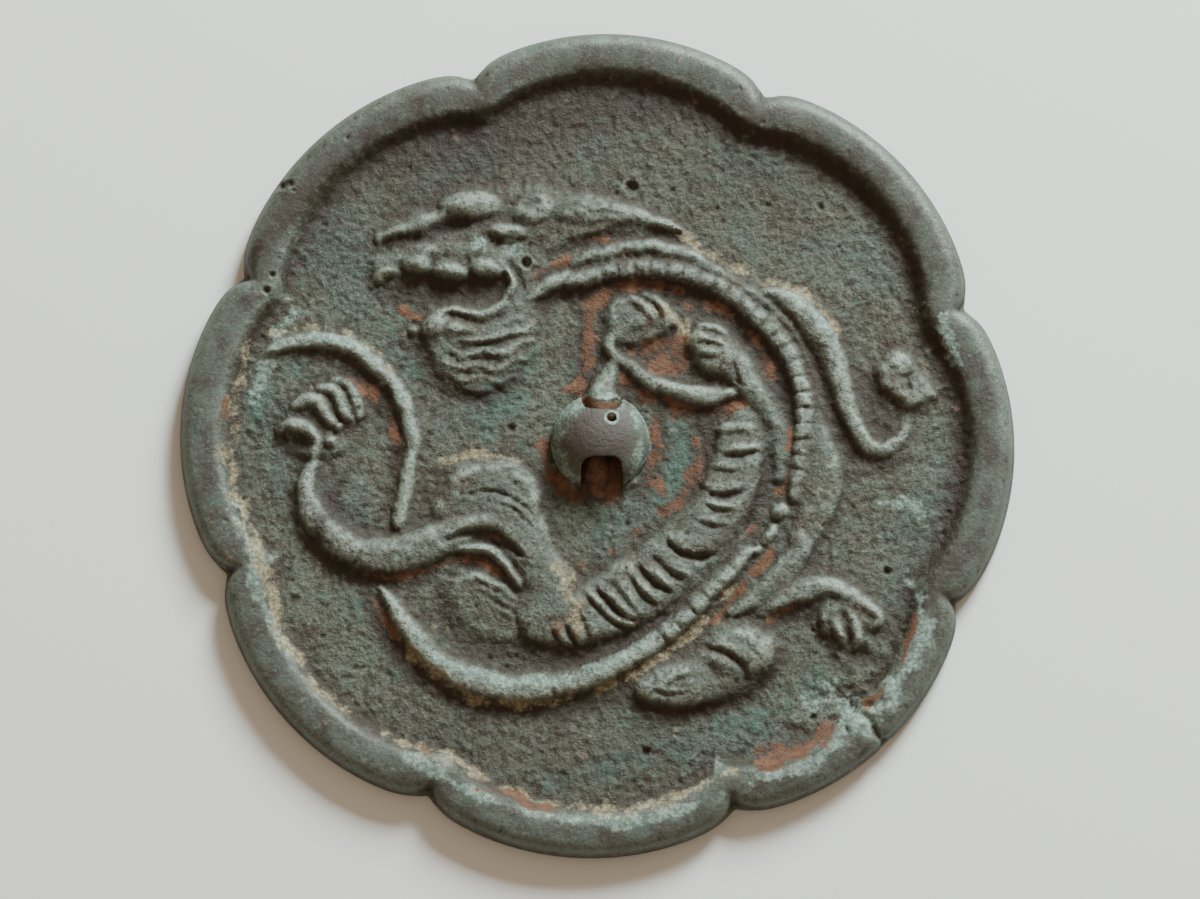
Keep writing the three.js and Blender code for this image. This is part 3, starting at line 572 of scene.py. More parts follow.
roll([[30.4, 27.6, 1.2, 1.1], [32.8, 27, 1.9, 1.6], [35.4, 25.4, 2.5, 2.0], [38.2, 22.8, 2.8, 2.2],
      [41.1, 18.8, 2.9, 2.3], [43.1, 14.2, 2.7, 2.2], [44.4, 9.6, 2.4, 2.1], [45.7, 5.2, 2.1, 2.0],
      [47.5, 1.5, 1.9, 1.8], [50.1, -0.7, 1.7, 1.6], [52.8, -0.3, 1.5, 1.3],
      [54.8, 1.9, 1.3, 0.9], [55.6, 4.6, 1.1, 0.5]], lean=-0.15)
plate([(50, 12.8), (51.4, 14.8), (52.9, 16.7), (55.2, 16.4), (57.2, 14.3), (59, 12.3), (61, 9.4),
       (59.5, 8), (56.3, 6), (54.5, 7.1), (52.9, 8.9), (51.1, 9.4)], 1.7, 0.6)
OUTER_PAW_LUMPS = [
    (54.2, 14, 2.7, 2.2, 2.1, -35), (57.2, 10.7, 2.3, 1.6, 1.8, -40), (55, 8.6, 1.6, 1.2, 1.6, 20),
    (51.9, 11.6, 1.9, 1.3, 1.6, 105), (59.8, 9.4, 1.5, 0.7, 1.4, -35), (53.8, 10.9, 1.5, 1.2, 1.9, 80),
]
for lump in OUTER_PAW_LUMPS:
    boss(*lump)
groove([[54, 12.2, 0.3, 0.5], [55.6, 12, 0.35, 0.9], [57.2, 13, 0.3, 0.5]])
groove([[55.6, 12, 0.3, 0.4], [55.4, 10.4, 0.35, 0.7], [56.6, 9.2, 0.3, 0.5]])
print("fore legs pressed, relief is", relief.max().round(2), "mm high")


# %% [markdown]
# The hind legs
#
# The thigh fans out over the hip, with two fine lines of muscle, and locks of hair hang below it.
# The leg swings out to the left and up to a paw with four hooked toes. Its locks and toes repeat,
# so each set is a list of strokes and a loop.

# %% Press the hind legs
roll([[-9.4, -30, 5.4, 2.5], [-9, -25, 5.2, 2.5], [-11.4, -20, 4.4, 2.5], [-14, -15, 5.0, 2.4],
      [-16.4, -11, 6.4, 2.2], [-17.6, -8.2, 5.2, 1.9]], fullness=0.5)
plate([(-27.4, -9), (-25.8, -4.8), (-21.4, -3.4), (-15.4, -4), (-12.6, -8.4), (-11, -12), (-9, -16),
       (-16, -17), (-24, -14.6), (-28, -13)], 1.75, 0.8)
roll([[-24.6, -7.2, 1.6, 1.2], [-21, -5.2, 2.0, 1.6], [-17, -4.9, 2.2, 1.7], [-13.4, -6.4, 2.2, 1.8],
      [-11.8, -10, 2.0, 2.0]], fullness=0.6)
roll([[-26.4, -12, 3.6, 1.6], [-20, -10.4, 3.6, 2.0], [-14.6, -12.4, 3.4, 2.3]], fullness=0.7)
groove([[-23.8, -9.4, 0.25, 0.2], [-19.2, -8.9, 0.3, 0.4], [-16.1, -9.6, 0.3, 0.6],
        [-13.4, -11.2, 0.3, 0.5], [-11.4, -13.2, 0.25, 0.3]], 0.12)
groove([[-18.4, -10.9, 0.25, 0.3], [-15.3, -11.9, 0.3, 0.5], [-13.3, -13.8, 0.3, 0.4],
        [-10.2, -16, 0.25, 0.3]], 0.12)
roll([[-51, -3.4, 1.2, 1.5], [-52, -6.6, 1.7, 1.9], [-51.8, -9.4, 2.1, 2.2],
      [-50.4, -13, 2.6, 2.4], [-47.6, -16.3, 3.0, 2.6], [-44, -18.6, 3.3, 2.7],
      [-39.6, -19.5, 3.5, 2.7], [-35, -19.1, 3.6, 2.7], [-30.7, -17.6, 3.5, 2.6],
      [-27, -15.9, 3.2, 2.5], [-23, -14.4, 2.7, 2.4], [-19, -14.1, 2.4, 2.4],
      [-15.5, -16, 2.5, 2.5], [-12.3, -19.6, 3.0, 2.5], [-10, -24, 3.6, 2.5]], lean=-0.1,
     fullness=0.5)
roll([[-29.4, -19.8, 0.9, 1.1], [-25.4, -18.8, 1.1, 1.5], [-21.2, -18.7, 1.3, 1.8],
      [-18.2, -19.8, 1.3, 1.9], [-16, -22.2, 1.3, 2.0], [-14.4, -25, 1.4, 2.1]])
groove([[-27.2, -17.8, 0.4, 0.6], [-24, -16.6, 0.6, 1.3], [-20.3, -16.3, 0.7, 1.7],
        [-17.4, -17.1, 0.7, 1.7], [-15.2, -19, 0.6, 1.5], [-13.2, -20.8, 0.4, 0.8]])
groove([[-28.3, -21.6, 0.5, 0.3], [-24.6, -20.5, 0.6, 1.0], [-21.2, -20.8, 0.7, 1.5],
        [-18.4, -22.4, 0.7, 1.6], [-16.1, -24.7, 0.6, 1.4], [-14.1, -27, 0.4, 0.7]])
plate([(-27, -24), (-22, -22.8), (-16, -23.8), (-12.6, -27), (-12.4, -33.6), (-16, -35.4),
       (-22, -33.8), (-26.2, -30)], 0.8, 0.8)
HAIR_STRANDS = [
    [[-25.6, -24.6, 0.6, 0.8], [-21.6, -23.8, 1.0, 1.2], [-17.4, -25.8, 1.1, 1.5],
     [-14.4, -28.2, 0.9, 1.5]],
    [[-24.6, -26.8, 0.6, 0.7], [-20.6, -26.2, 1.0, 1.1], [-16.8, -28, 1.0, 1.3],
     [-14, -30, 0.8, 1.3]],
    [[-24.4, -29, 0.6, 0.6], [-20.6, -28.4, 0.9, 0.9], [-17, -30.2, 0.9, 1.1],
     [-13.8, -32, 0.7, 1.1]],
    [[-22.8, -31.2, 0.5, 0.5], [-19, -30.9, 0.9, 0.8], [-15.4, -33, 0.8, 0.9]],
]
for strand in HAIR_STRANDS:
    roll(strand, blend=0.15)
plate([(-56.7, 2.4), (-55.4, 6.6), (-53.3, 8.4), (-50.2, 9.7), (-47.5, 11), (-44.9, 10), (-42.6, 6.6),
       (-42.8, 4), (-44.9, 1.9), (-45.4, -1.2), (-48.1, -2.8), (-51.7, -2.8), (-54.4, -1.2)], 1.0, 0.5)
PAW_TOES = [
    [[-54.2, 6.8, 1.2, 1.6], [-52, 8.1, 1.7, 2.2], [-49.8, 7.2, 1.8, 2.5], [-47.8, 4.2, 1.6, 2.3]],
    [[-50, 10.2, 1.1, 1.5], [-47.8, 9.8, 1.4, 2.1], [-45.9, 7.6, 1.6, 2.4], [-44.8, 4.8, 1.3, 2.1]],
    [[-47, 11.4, 0.9, 1.3], [-44.8, 10.4, 1.3, 1.9], [-43.2, 7.9, 1.3, 2.0], [-42.8, 5.2, 1.0, 1.6]],
    [[-57, 2.4, 1.0, 1.3], [-54.9, 3.6, 1.5, 1.9], [-52.4, 2.9, 1.6, 2.2], [-50, 0.2, 1.4, 2.0]],
]
for toe in PAW_TOES:
    roll(toe, blend=0.3)
boss(-50.8, -1.3, 1.8, 1.4, 1.9, 60)
boss(-47.8, 0.4, 1.7, 1.4, 2.0)
boss(-46.4, 3, 1.4, 1.1, 1.9)
TOE_GAP = 0.7
relief -= TOE_GAP * area([(-55.2, 1.6), (-53, 1.4), (-52, 0), (-53, -1.4), (-55, -0.6)], 0.35)
print(len(PAW_TOES), "toes and", len(HAIR_STRANDS), "locks of hair pressed")


# %% [markdown]
# The tail, the haunch and the hind foot
#
# The tail rises from the hip and bends left in one smooth curve. The second haunch lies beside the
# ridge as two worn ovals with shallow lines, and its foot ends in four claws over low plates. The
# short roll and the two bosses next to the knob are packed soil: a ramp in the knob's near mouth
# and a lump on each side of it.

# %% Press the tail, the haunch and the hind foot
roll([[-59.9, 15.9, 0.5, 0.7], [-57.6, 17.2, 1.2, 1.3], [-54.2, 18.3, 1.6, 1.6],
      [-50.3, 18.6, 1.8, 1.8], [-46.6, 18, 1.85, 1.9], [-42.9, 16.4, 1.9, 1.9],
      [-39.6, 13.8, 1.95, 1.9], [-37, 10.9, 1.95, 1.9], [-35.2, 7.6, 1.9, 1.9],
      [-33.9, 4, 1.8, 1.8], [-33.3, 0.4, 1.7, 1.6], [-33.4, -1.6, 1.4, 1.2]], lean=0.12)
roll([[-33.5, -2.2, 1.4, 1.5], [-34.1, -6.6, 1.75, 1.6], [-34.8, -10.6, 1.7, 1.5],
      [-35.6, -14.4, 1.4, 1.3]])
boss(-33.1, 2.2, 1.0, 0.7, 1.9, 90)
plate([(6.2, -44.3), (10.4, -40.1), (17, -38.2), (18.8, -35.4), (22, -33), (26.2, -32.3), (31, -33.8),
       (32.2, -37.2), (30.6, -41.4), (26.6, -44.8), (19.9, -47), (10.4, -47)], 1.7, 0.9)
boss(15.4, -43, 8.9, 4.5, 2.7, 5, fullness=0.4)
boss(25.6, -37.4, 6.6, 5.2, 3.1, 8, fullness=0.4)
boss(22.6, -41.8, 5.0, 4.0, 2.2, 30)
groove([[9.6, -44.6, 0.35, 0.4], [12.8, -45.3, 0.4, 0.6], [15.8, -45, 0.3, 0.3]], 0.15)
groove([[11.6, -43.2, 0.3, 0.2], [14.6, -43.8, 0.3, 0.4], [17.4, -43.4, 0.3, 0.2]], 0.1)
groove([[18.6, -36, 0.5, 0.4], [21.4, -37.2, 0.7, 0.8], [24.2, -38.8, 0.7, 0.9],
        [26.6, -41.2, 0.6, 0.6], [27, -43.2, 0.4, 0.2]], 0.2)
groove([[12, -44.8, 0.4, 0.3], [14.4, -42.6, 0.45, 0.6], [17, -41.8, 0.4, 0.4]], 0.15)
groove([[24, -34.6, 0.4, 0.2], [27, -36.4, 0.4, 0.3], [29.4, -39, 0.4, 0.2]], 0.1)
roll([[-0.4, -2.6, 2.8, 3.6], [-0.4, -4.6, 2.8, 3.2], [0, -7, 2.8, 1.9], [0.6, -9.6, 2.8, 0.9],
      [1.2, -12, 2.0, 0.4]])
boss(-4.8, -7.2, 2.0, 1.4, 1.1, -40)
boss(6.0, -6.6, 1.8, 1.3, 0.9, 45)
plate([(41, -28), (46, -26.8), (50, -29.6), (51, -33), (49.6, -36.4), (45, -36.8), (41.6, -34.6)], 0.6)
plate([(39.4, -27), (44, -25.6), (49, -28), (50.6, -31.4), (49, -33.6), (45.6, -33.2), (42, -33.6),
       (39.8, -31)], 1.5, 0.7)
roll([[29.4, -30, 1.3, 1.0], [32.2, -28.4, 2.0, 1.7], [35.6, -26.8, 2.4, 2.0],
      [39.2, -25.9, 2.4, 2.1], [42.8, -26.2, 2.2, 2.1], [45.8, -27.4, 2.0, 2.0],
      [48.2, -29.2, 1.5, 1.6]], lean=0.1)
HIND_CLAWS = [
    [[46.6, -28.2, 1.5, 1.8], [49.2, -29.6, 1.4, 2.0], [50.6, -31.2, 1.2, 1.9],
     [49.4, -32.8, 0.8, 1.3]],
    [[44.8, -29.4, 1.5, 1.9], [46, -32, 1.4, 2.1], [46.9, -34.2, 1.2, 1.8],
     [46.4, -36.4, 0.7, 1.1]],
    [[42.6, -29.8, 1.4, 1.8], [43, -32.6, 1.3, 2.0], [43.8, -34.6, 1.1, 1.6],
     [44, -36, 0.6, 1.0]],
    [[40.6, -29.6, 1.2, 1.5], [40.8, -32, 1.2, 1.6], [41.4, -34, 0.8, 1.1]],
]
for claw in HIND_CLAWS:
    roll(claw, blend=0.12)
print("dragon is", relief.max().round(2), "mm high, with", len(HIND_CLAWS), "claws on the hind foot")


# %% [markdown]
# Casting skin
#
# A sand mould leaves a grainy skin, and long burial roughens it further. Hand-cut lines are never
# quite even either. So the tray is first warped a little by slow noise. A low skirt then fills the
# corner at the foot of each form, and a slight blur follows, as metal flows softer than clay is
# cut. Lumps and grain are added last. The field takes most of the grain, and the rim and the tops
# of the dragon are worn smoother. The noise is drawn from a seed, so every run gives the same
# mirror.

# %% Casting skin
rng = np.random.default_rng(11)


def grain_of(size):
    noise = blur(rng.standard_normal(relief.shape), size)
    return noise / noise.std()


def step_up(values, low, high):
    share = np.clip((values - low) / (high - low), 0, 1)
    return share * share * (3 - 2 * share)


def sample(tray, x, y):
    """Reads a tray between its cells, at places in millimetres."""
    column = np.clip((x + TRAY_HALF) / CELL, 0, tray_side - 1.001)
    row = np.clip((y + TRAY_HALF) / CELL, 0, tray_side - 1.001)
    left, below = column.astype(int), row.astype(int)
    column, row = column - left, row - below
    low_row = tray[below, left] * (1 - column) + tray[below, left + 1] * column
    high_row = tray[below + 1, left] * (1 - column) + tray[below + 1, left + 1] * column
    return low_row * (1 - row) + high_row * row


WARP, WARP_SIZE = 0.11, 1.1
SKIRT_SHARE, SKIRT_SIZE, SKIRT_DROP, SKIRT_BLEND = 0.8, 1.15, 0.12, 0.2
CAST_BLUR = 0.12
fine_grain = grain_of(0.28)
coarse_grain = grain_of(0.65)
lumps = grain_of(1.3)
swell = grain_of(3.5)
relief = sample(relief, tray_x + WARP * grain_of(WARP_SIZE), tray_y + WARP * grain_of(WARP_SIZE))
skirt = SKIRT_SHARE * blur(relief, SKIRT_SIZE) - SKIRT_DROP
lift = np.clip(0.5 + 0.5 * (skirt - relief) / SKIRT_BLEND, 0, 1)
relief = blur(relief * (1 - lift) + skirt * lift + SKIRT_BLEND * lift * (1 - lift), CAST_BLUR)
tray_angle = np.arctan2(tray_y, tray_x)
tray_radius = np.hypot(tray_x, tray_y)
edge_distance = look_up(outline, tray_angle) - tray_radius
on_field = step_up(edge_distance, 6.2, 8.8)
raised = step_up(relief, 0.4, 1.4)
roughness = 0.22 + 0.78 * on_field * (1 - 0.3 * raised)
skin = roughness * (0.1 * fine_grain + 0.05 * coarse_grain) + 0.07 * swell * on_field
skin += 0.06 * lumps * raised + 0.03 * lumps
print("grain is", skin.std().round(3), "mm deep on average")


# %% [markdown]
# Flaws of the casting and of its long life
#
# The mirror is kept as it was found: blow holes in the field, nicks in the rim, a scatter of small
# pits, and a cold shut that crosses the rim at the lower right, with rough crust beside it. Nothing
# is mended. Each pit is a dent with a low lip round it.

# %% Flaws
PIT_LIP = 0.18


def pit(x, y, size, depth):
    away = np.hypot(tray_x - x, tray_y - y) / size
    return PIT_LIP * depth * np.exp(-(((away - 1.5) / 0.5) ** 2)) - depth * np.exp(-(away**3))


NAMED_PITS = [
    (-12.8, 32.7, 0.8, 1.3), (6.2, 46.8, 1.0, 1.0), (51.9, -23.2, 0.7, 0.7),
    (8.7, -55.8, 0.8, 0.8), (-15.4, 2.8, 0.7, 0.6), (-56.6, 46.6, 0.8, 1.0),
    (-55.2, 46.9, 0.6, 0.7), (-54.6, 45.6, 0.35, 0.4), (46.9, 58.3, 0.5, 0.5),
    (40.2, 43.2, 0.6, 0.6), (-59.4, 27.4, 0.6, 0.8), (-58.4, 30.2, 0.5, 0.6),
    (12.6, 6.6, 0.6, 0.5), (44.6, -52.2, 0.6, 0.6), (-66.6, -14.4, 0.4, 0.3),
    (3.4, 45.4, 0.5, 0.5), (-45, 55.2, 0.35, 0.4), (17.4, -60.2, 0.5, 0.4),
    (-28.4, 52.4, 0.5, 0.4), (48.4, -47.6, 0.7, 0.6), (38.6, -49.6, 0.6, 0.7),
]  # x, y, size, depth
SMALL_PITS = 320
PITS_WITHIN, RIM_FROM = 74, 65
for x, y, size, depth in NAMED_PITS:
    skin += pit(x, y, size, depth)
for _ in range(SMALL_PITS):
    spot = rng.uniform(0, 2 * math.pi)
    out = PITS_WITHIN * math.sqrt(rng.uniform(0, 1))
    size = rng.uniform(0.22, 0.5)
    depth = rng.uniform(0.1, 0.4) * (1 if out < RIM_FROM else 0.6)
    skin += pit(out * math.cos(spot), out * math.sin(spot), size, depth)

FLAW_ANGLE = 313.6
SHUT_DEPTH, SHUT_WIDTH = 0.9, 0.55
SAG_DEPTH, SAG_WIDTH = 0.35, 5
flaw = math.radians(FLAW_ANGLE)
flaw_away = (tray_x * math.sin(flaw) - tray_y * math.cos(flaw)) + 0.5 * np.sin(tray_radius * 1.1)
on_flaw = step_up(tray_radius, 61, 68) * (np.cos(tray_angle - flaw) > 0.9)
skin -= SHUT_DEPTH * on_flaw * np.exp(-((flaw_away / SHUT_WIDTH) ** 2))
skin -= SAG_DEPTH * on_flaw * step_up(-flaw_away, 0, 0.6) * np.exp(-((flaw_away / SAG_WIDTH) ** 2))

BANK_X, BANK_Y, BANK_HALF_WIDTH, BANK_HALF_HEIGHT = 45.5, -45.5, 9, 8
BANK_RISE = 0.35
crust_bank = np.exp(-(((tray_x - BANK_X) / BANK_HALF_WIDTH) ** 2
                      + ((tray_y - BANK_Y) / BANK_HALF_HEIGHT) ** 2))
rubble = 0.6 * coarse_grain + 0.5 * np.abs(grain_of(1.4))
skin += BANK_RISE * crust_bank * rubble * (edge_distance > 2)
print("skin from", skin.min().round(2), "to", skin.max().round(2), "mm")


# %% [markdown]
# Clay, crust and dust
#
# Soil fills the hollows of an excavated bronze. The clay of this one is reddish brown: it lies round
# the knob, in the coil and along the foot of the rim. Pale green crust grows on edges. Sandy dust
# lies along the foot of the rim at the left, and its pale strokes also lie on slopes that face the
# light, as painted light. Green verdigris blooms in patches on the field. Dark grime gathers beside
# the forms, and with it painted shade darkens the mouth, the sides of forms away from the light and
# the rim's inner slope at the top and right; a broader shade of it darkens the field under the upper
# rim. Each is painted on a tray of its own with soft strokes of (x, y, half width). The trays stay
# soft here, and the material breaks up their borders later, so that these are finer than the mesh.

# %% Paint the trays of soil, crust and grime, with painted light and painted shade
BRUSH_REACH, BRUSH_BLUR = 3.0, 0.35


def paint(strokes):
    """A tray of soft strokes: 1 along each line, one half at its half width, 0 at twice that."""
    tray = np.zeros_like(relief)
    for stroke in strokes:
        flat_stroke = [[x, y, size, 0] for x, y, size in stroke]
        window, distance, _, _, width, _ = trace(flat_stroke, BRUSH_REACH)
        tray[window] = np.maximum(tray[window], np.clip(1.0 - 0.5 * distance / width, 0, 1))
    return blur(tray, BRUSH_BLUR)


CLAY_STROKES = [
    [(-44.6, 11.2, 1.0), (-40.8, 9.4, 1.2), (-37.8, 5.4, 1.1), (-36, 0.4, 0.9)],
    [(-2, -4.6, 1.6), (1, -5.6, 2.2), (4, -4.6, 1.6)],
    [(-8.9, 1, 0.8), (-9.6, -2.6, 1.1), (-8, -6.4, 1.7), (-5, -9.2, 1.8), (-2.4, -9.4, 1.0)],
    [(9.8, 8, 1.1), (10.4, 3.4, 1.1), (10.6, -1, 1.1), (9.6, -4, 1.1), (8.8, -5.8, 0.8)],
    [(-6, 9.4, 0.7), (-3.2, 10.2, 1.1), (-1.8, 13, 1.1), (-1.6, 15.4, 0.9)],
    [(-2.2, 7.4, 1.2), (1, 7.1, 1.2), (4, 7.4, 1.2)],
    [(-0.8, 15, 1.0), (-1.6, 18.4, 1.3), (-1.6, 22.2, 1.6), (0.2, 26, 1.6), (4.6, 28.2, 1.2),
     (10, 28.6, 1.1), (14.6, 27.4, 1.0)],
    [(7.4, 17.4, 1.5), (10.4, 16.4, 2.2), (13.6, 17.8, 2.2), (14.6, 14.4, 1.8), (11, 13.6, 1.6)],
    [(4.4, 11.8, 0.8), (7.6, 9, 1.2), (12, 7, 1.3), (18, 5.8, 1.3), (23.6, 6, 1.2), (28, 7.6, 1.0)],
    [(16, 24.6, 1.0), (19.4, 25, 1.1), (25, 22, 0.9), (29, 17.4, 0.9), (31.8, 11.4, 0.9)],
    [(12.2, 8, 1.0), (11.8, 4.6, 0.8)],
    [(17.6, 1, 0.7), (18.2, -2.4, 1.0), (17.4, -5, 1.3), (15.8, -8, 0.9), (15, -10.6, 1.4),
     (12.2, -11.6, 1.2)],
    [(9.6, -7, 0.8), (11.6, -8.2, 1.2), (13, -10, 0.9)],
    [(14, 6, 1.2), (16.6, 4.4, 0.9)],
    [(8, -15, 0.6), (5, -18.4, 0.8), (2.6, -19.4, 0.6)],
    [(-2.8, -22, 0.8), (-2, -20.8, 0.6)],
    [(34.3, 2.6, 0.6), (34.9, -1, 0.6), (34.7, -5, 0.6), (33.4, -8.6, 0.7), (31, -8.2, 0.6)],
    [(30.4, -12.2, 0.6), (28.4, -15, 0.8), (26.2, -16.8, 0.6)],
    [(32.4, -18.6, 0.7), (28.4, -22.8, 0.9), (24, -28.4, 0.9), (20.6, -31.6, 0.8)],
    [(7.8, 33.7, 0.4), (11, 33.7, 0.5), (13.8, 33.2, 0.4)],
    [(-10.8, 29.8, 0.5), (-8.4, 31.6, 0.7), (-5.2, 33.2, 0.6)],
    [(-4.4, 36.8, 0.7), (-0.4, 36.6, 0.9), (4, 36.4, 0.6)],
    [(-35, 24.2, 0.9), (-32.6, 22.4, 0.9)],
    [(-16.2, 31.6, 0.4), (-14.2, 29.6, 0.4), (-13.4, 27.2, 0.4)],
    [(-25.8, -16.9, 0.5), (-21.4, -16.4, 0.6), (-17.6, -17.2, 0.5)],
    [(-29.4, -22.2, 0.6), (-25, -20.9, 0.7), (-20, -21.6, 0.7), (-17, -24, 0.6)],
    [(-42, -23.4, 0.5), (-38, -24, 0.6), (-33.4, -23.2, 0.6), (-30, -22.4, 0.6)],
    [(-40.6, -27.6, 0.6), (-38.2, -31.4, 0.6), (-35, -36, 0.5)],
    [(34.6, -29.2, 0.5), (31, -32, 0.7)],
    [(29, -58, 1.0), (33, -56, 2.0), (37.6, -54, 2.1), (41.6, -51.4, 1.7)],
    [(48, -46.6, 0.9), (50.8, -44.6, 0.9)],
    [(54.4, -39.4, 0.7), (56, -35, 0.9), (57, -31, 0.8)],
    [(-21, -60.8, 0.9), (-16.6, -63, 1.1), (-11, -65, 1.2), (-6, -65.8, 0.8)],
    [(-31, -54.6, 0.7), (-29, -55.8, 0.6)],
    [(23.4, -58, 0.7), (27, -56.2, 0.9), (29.4, -54, 0.7)],
    [(54.2, 37.2, 0.6), (55.4, 34.4, 0.6)],
    [(-66.8, 8, 0.5), (-66.6, 2, 0.6), (-65.8, -3, 0.5)],
]
# Dust strokes are sandy dust and painted light: they lie on the lit inner rim at the left and bottom and
# on slopes of the forms that face the light.
DUST_AND_LIGHT_STROKES = [
    [(-62.6, 18, 0.9), (-65.4, 6, 1.3), (-64.8, -8, 1.5), (-61, -19, 1.4), (-58.6, -26, 1.3),
     (-56.6, -34, 1.2), (-51, -42.6, 1.2), (-44, -49.6, 1.1)],
    [(-38, -52, 0.9), (-26, -57, 1.1), (-12, -63.6, 1.2), (4, -65.6, 1.2), (16, -62.6, 1.1),
     (24, -58.6, 1.2)],
    [(-36.6, -33.6, 0.8), (-30, -41, 1.0), (-20, -46.4, 1.0), (-6, -46, 1.0), (6, -41.6, 1.0),
     (16, -34.6, 1.1), (24.6, -26, 1.0)],
    [(-58.6, 19.4, 0.8), (-48, 21, 0.7), (-40, 17, 0.7), (-36, 11, 0.6)],
    [(-28, -3.4, 1.0), (-21, -1.8, 1.0), (-14, -3, 0.8)],
    [(16, 37, 1.0), (24, 32, 1.0), (31, 29, 0.9), (38, 26.6, 0.9), (43.6, 20, 0.8)],
    [(12, 24, 1.4), (16, 19, 1.4), (12, 16, 1.4)],
    [(-7, -22, 1.4), (-5, -26, 1.6), (-3, -34, 1.0)],
]
CRUST_STROKES = [
    [(-58, 17.3, 0.8), (-50, 19, 1.1), (-43, 16.9, 1.1), (-38, 11.6, 1.1), (-35, 6, 1.1),
     (-33.6, 0, 1.0)],
    [(-33, -34, 0.9), (-29, -38, 1.1), (-20, -42.4, 1.2), (-8, -42.6, 1.2), (4, -38.8, 1.1),
     (14, -31.8, 1.0)],
    [(34, 27, 0.9), (39, 23.6, 1.0), (42.4, 18, 0.9)],
    [(40, -46, 2.6), (43.4, -46.6, 3.4), (46.6, -48.6, 3.0), (44, -51.4, 2.6)],
    [(58, -28, 1.6), (58.6, -34, 1.8), (55.4, -41, 2.0), (52, -45.4, 2.2)],
    [(-65, -11, 1.0), (-62, -20, 1.0), (-60.8, -28, 1.1), (-55, -38, 1.0)],
    [(-33, -56.6, 1.6), (-22, -62.8, 1.0), (-8, -67.4, 1.0), (6, -68, 1.0), (22, -63.6, 1.2)],
    [(9.4, 6, 1.2), (9.6, 1.6, 1.0), (8.8, -2, 0.8)],
    [(-22, 36, 1.4), (-17, 35.6, 1.6), (-12.6, 33.6, 1.6)],
    [(50, -10, 1.2), (58, -12, 1.4)],
    [(27, -61, 1.0), (33, -59.6, 1.3), (39, -57, 1.3), (43.6, -53.6, 1.2)],
    [(-62, 8, 1.2), (-56, 22, 1.2), (-50, 24, 1.0)],
    [(61.6, 22, 1.4), (64.4, 14, 1.2)],
]
VERDIGRIS_STROKES = [
    [(12.6, 4, 1.8), (14.6, 0, 2.4), (14, -5, 2.4), (11.6, -9, 1.8)],
    [(-33, 12, 2.0), (-37, 20, 2.2), (-33, 24, 1.6)],
    [(-8, -60, 2.4), (4, -58, 3.0), (16, -54, 2.6)],
    [(22, -50, 2.2), (30, -48, 2.4), (40, -42, 2.2)],
    [(-62, 6, 1.8), (-54, 14, 2.2)],
    [(-14, 8, 2.0), (-20, 4, 2.4), (-12, 16, 2.0)],
]
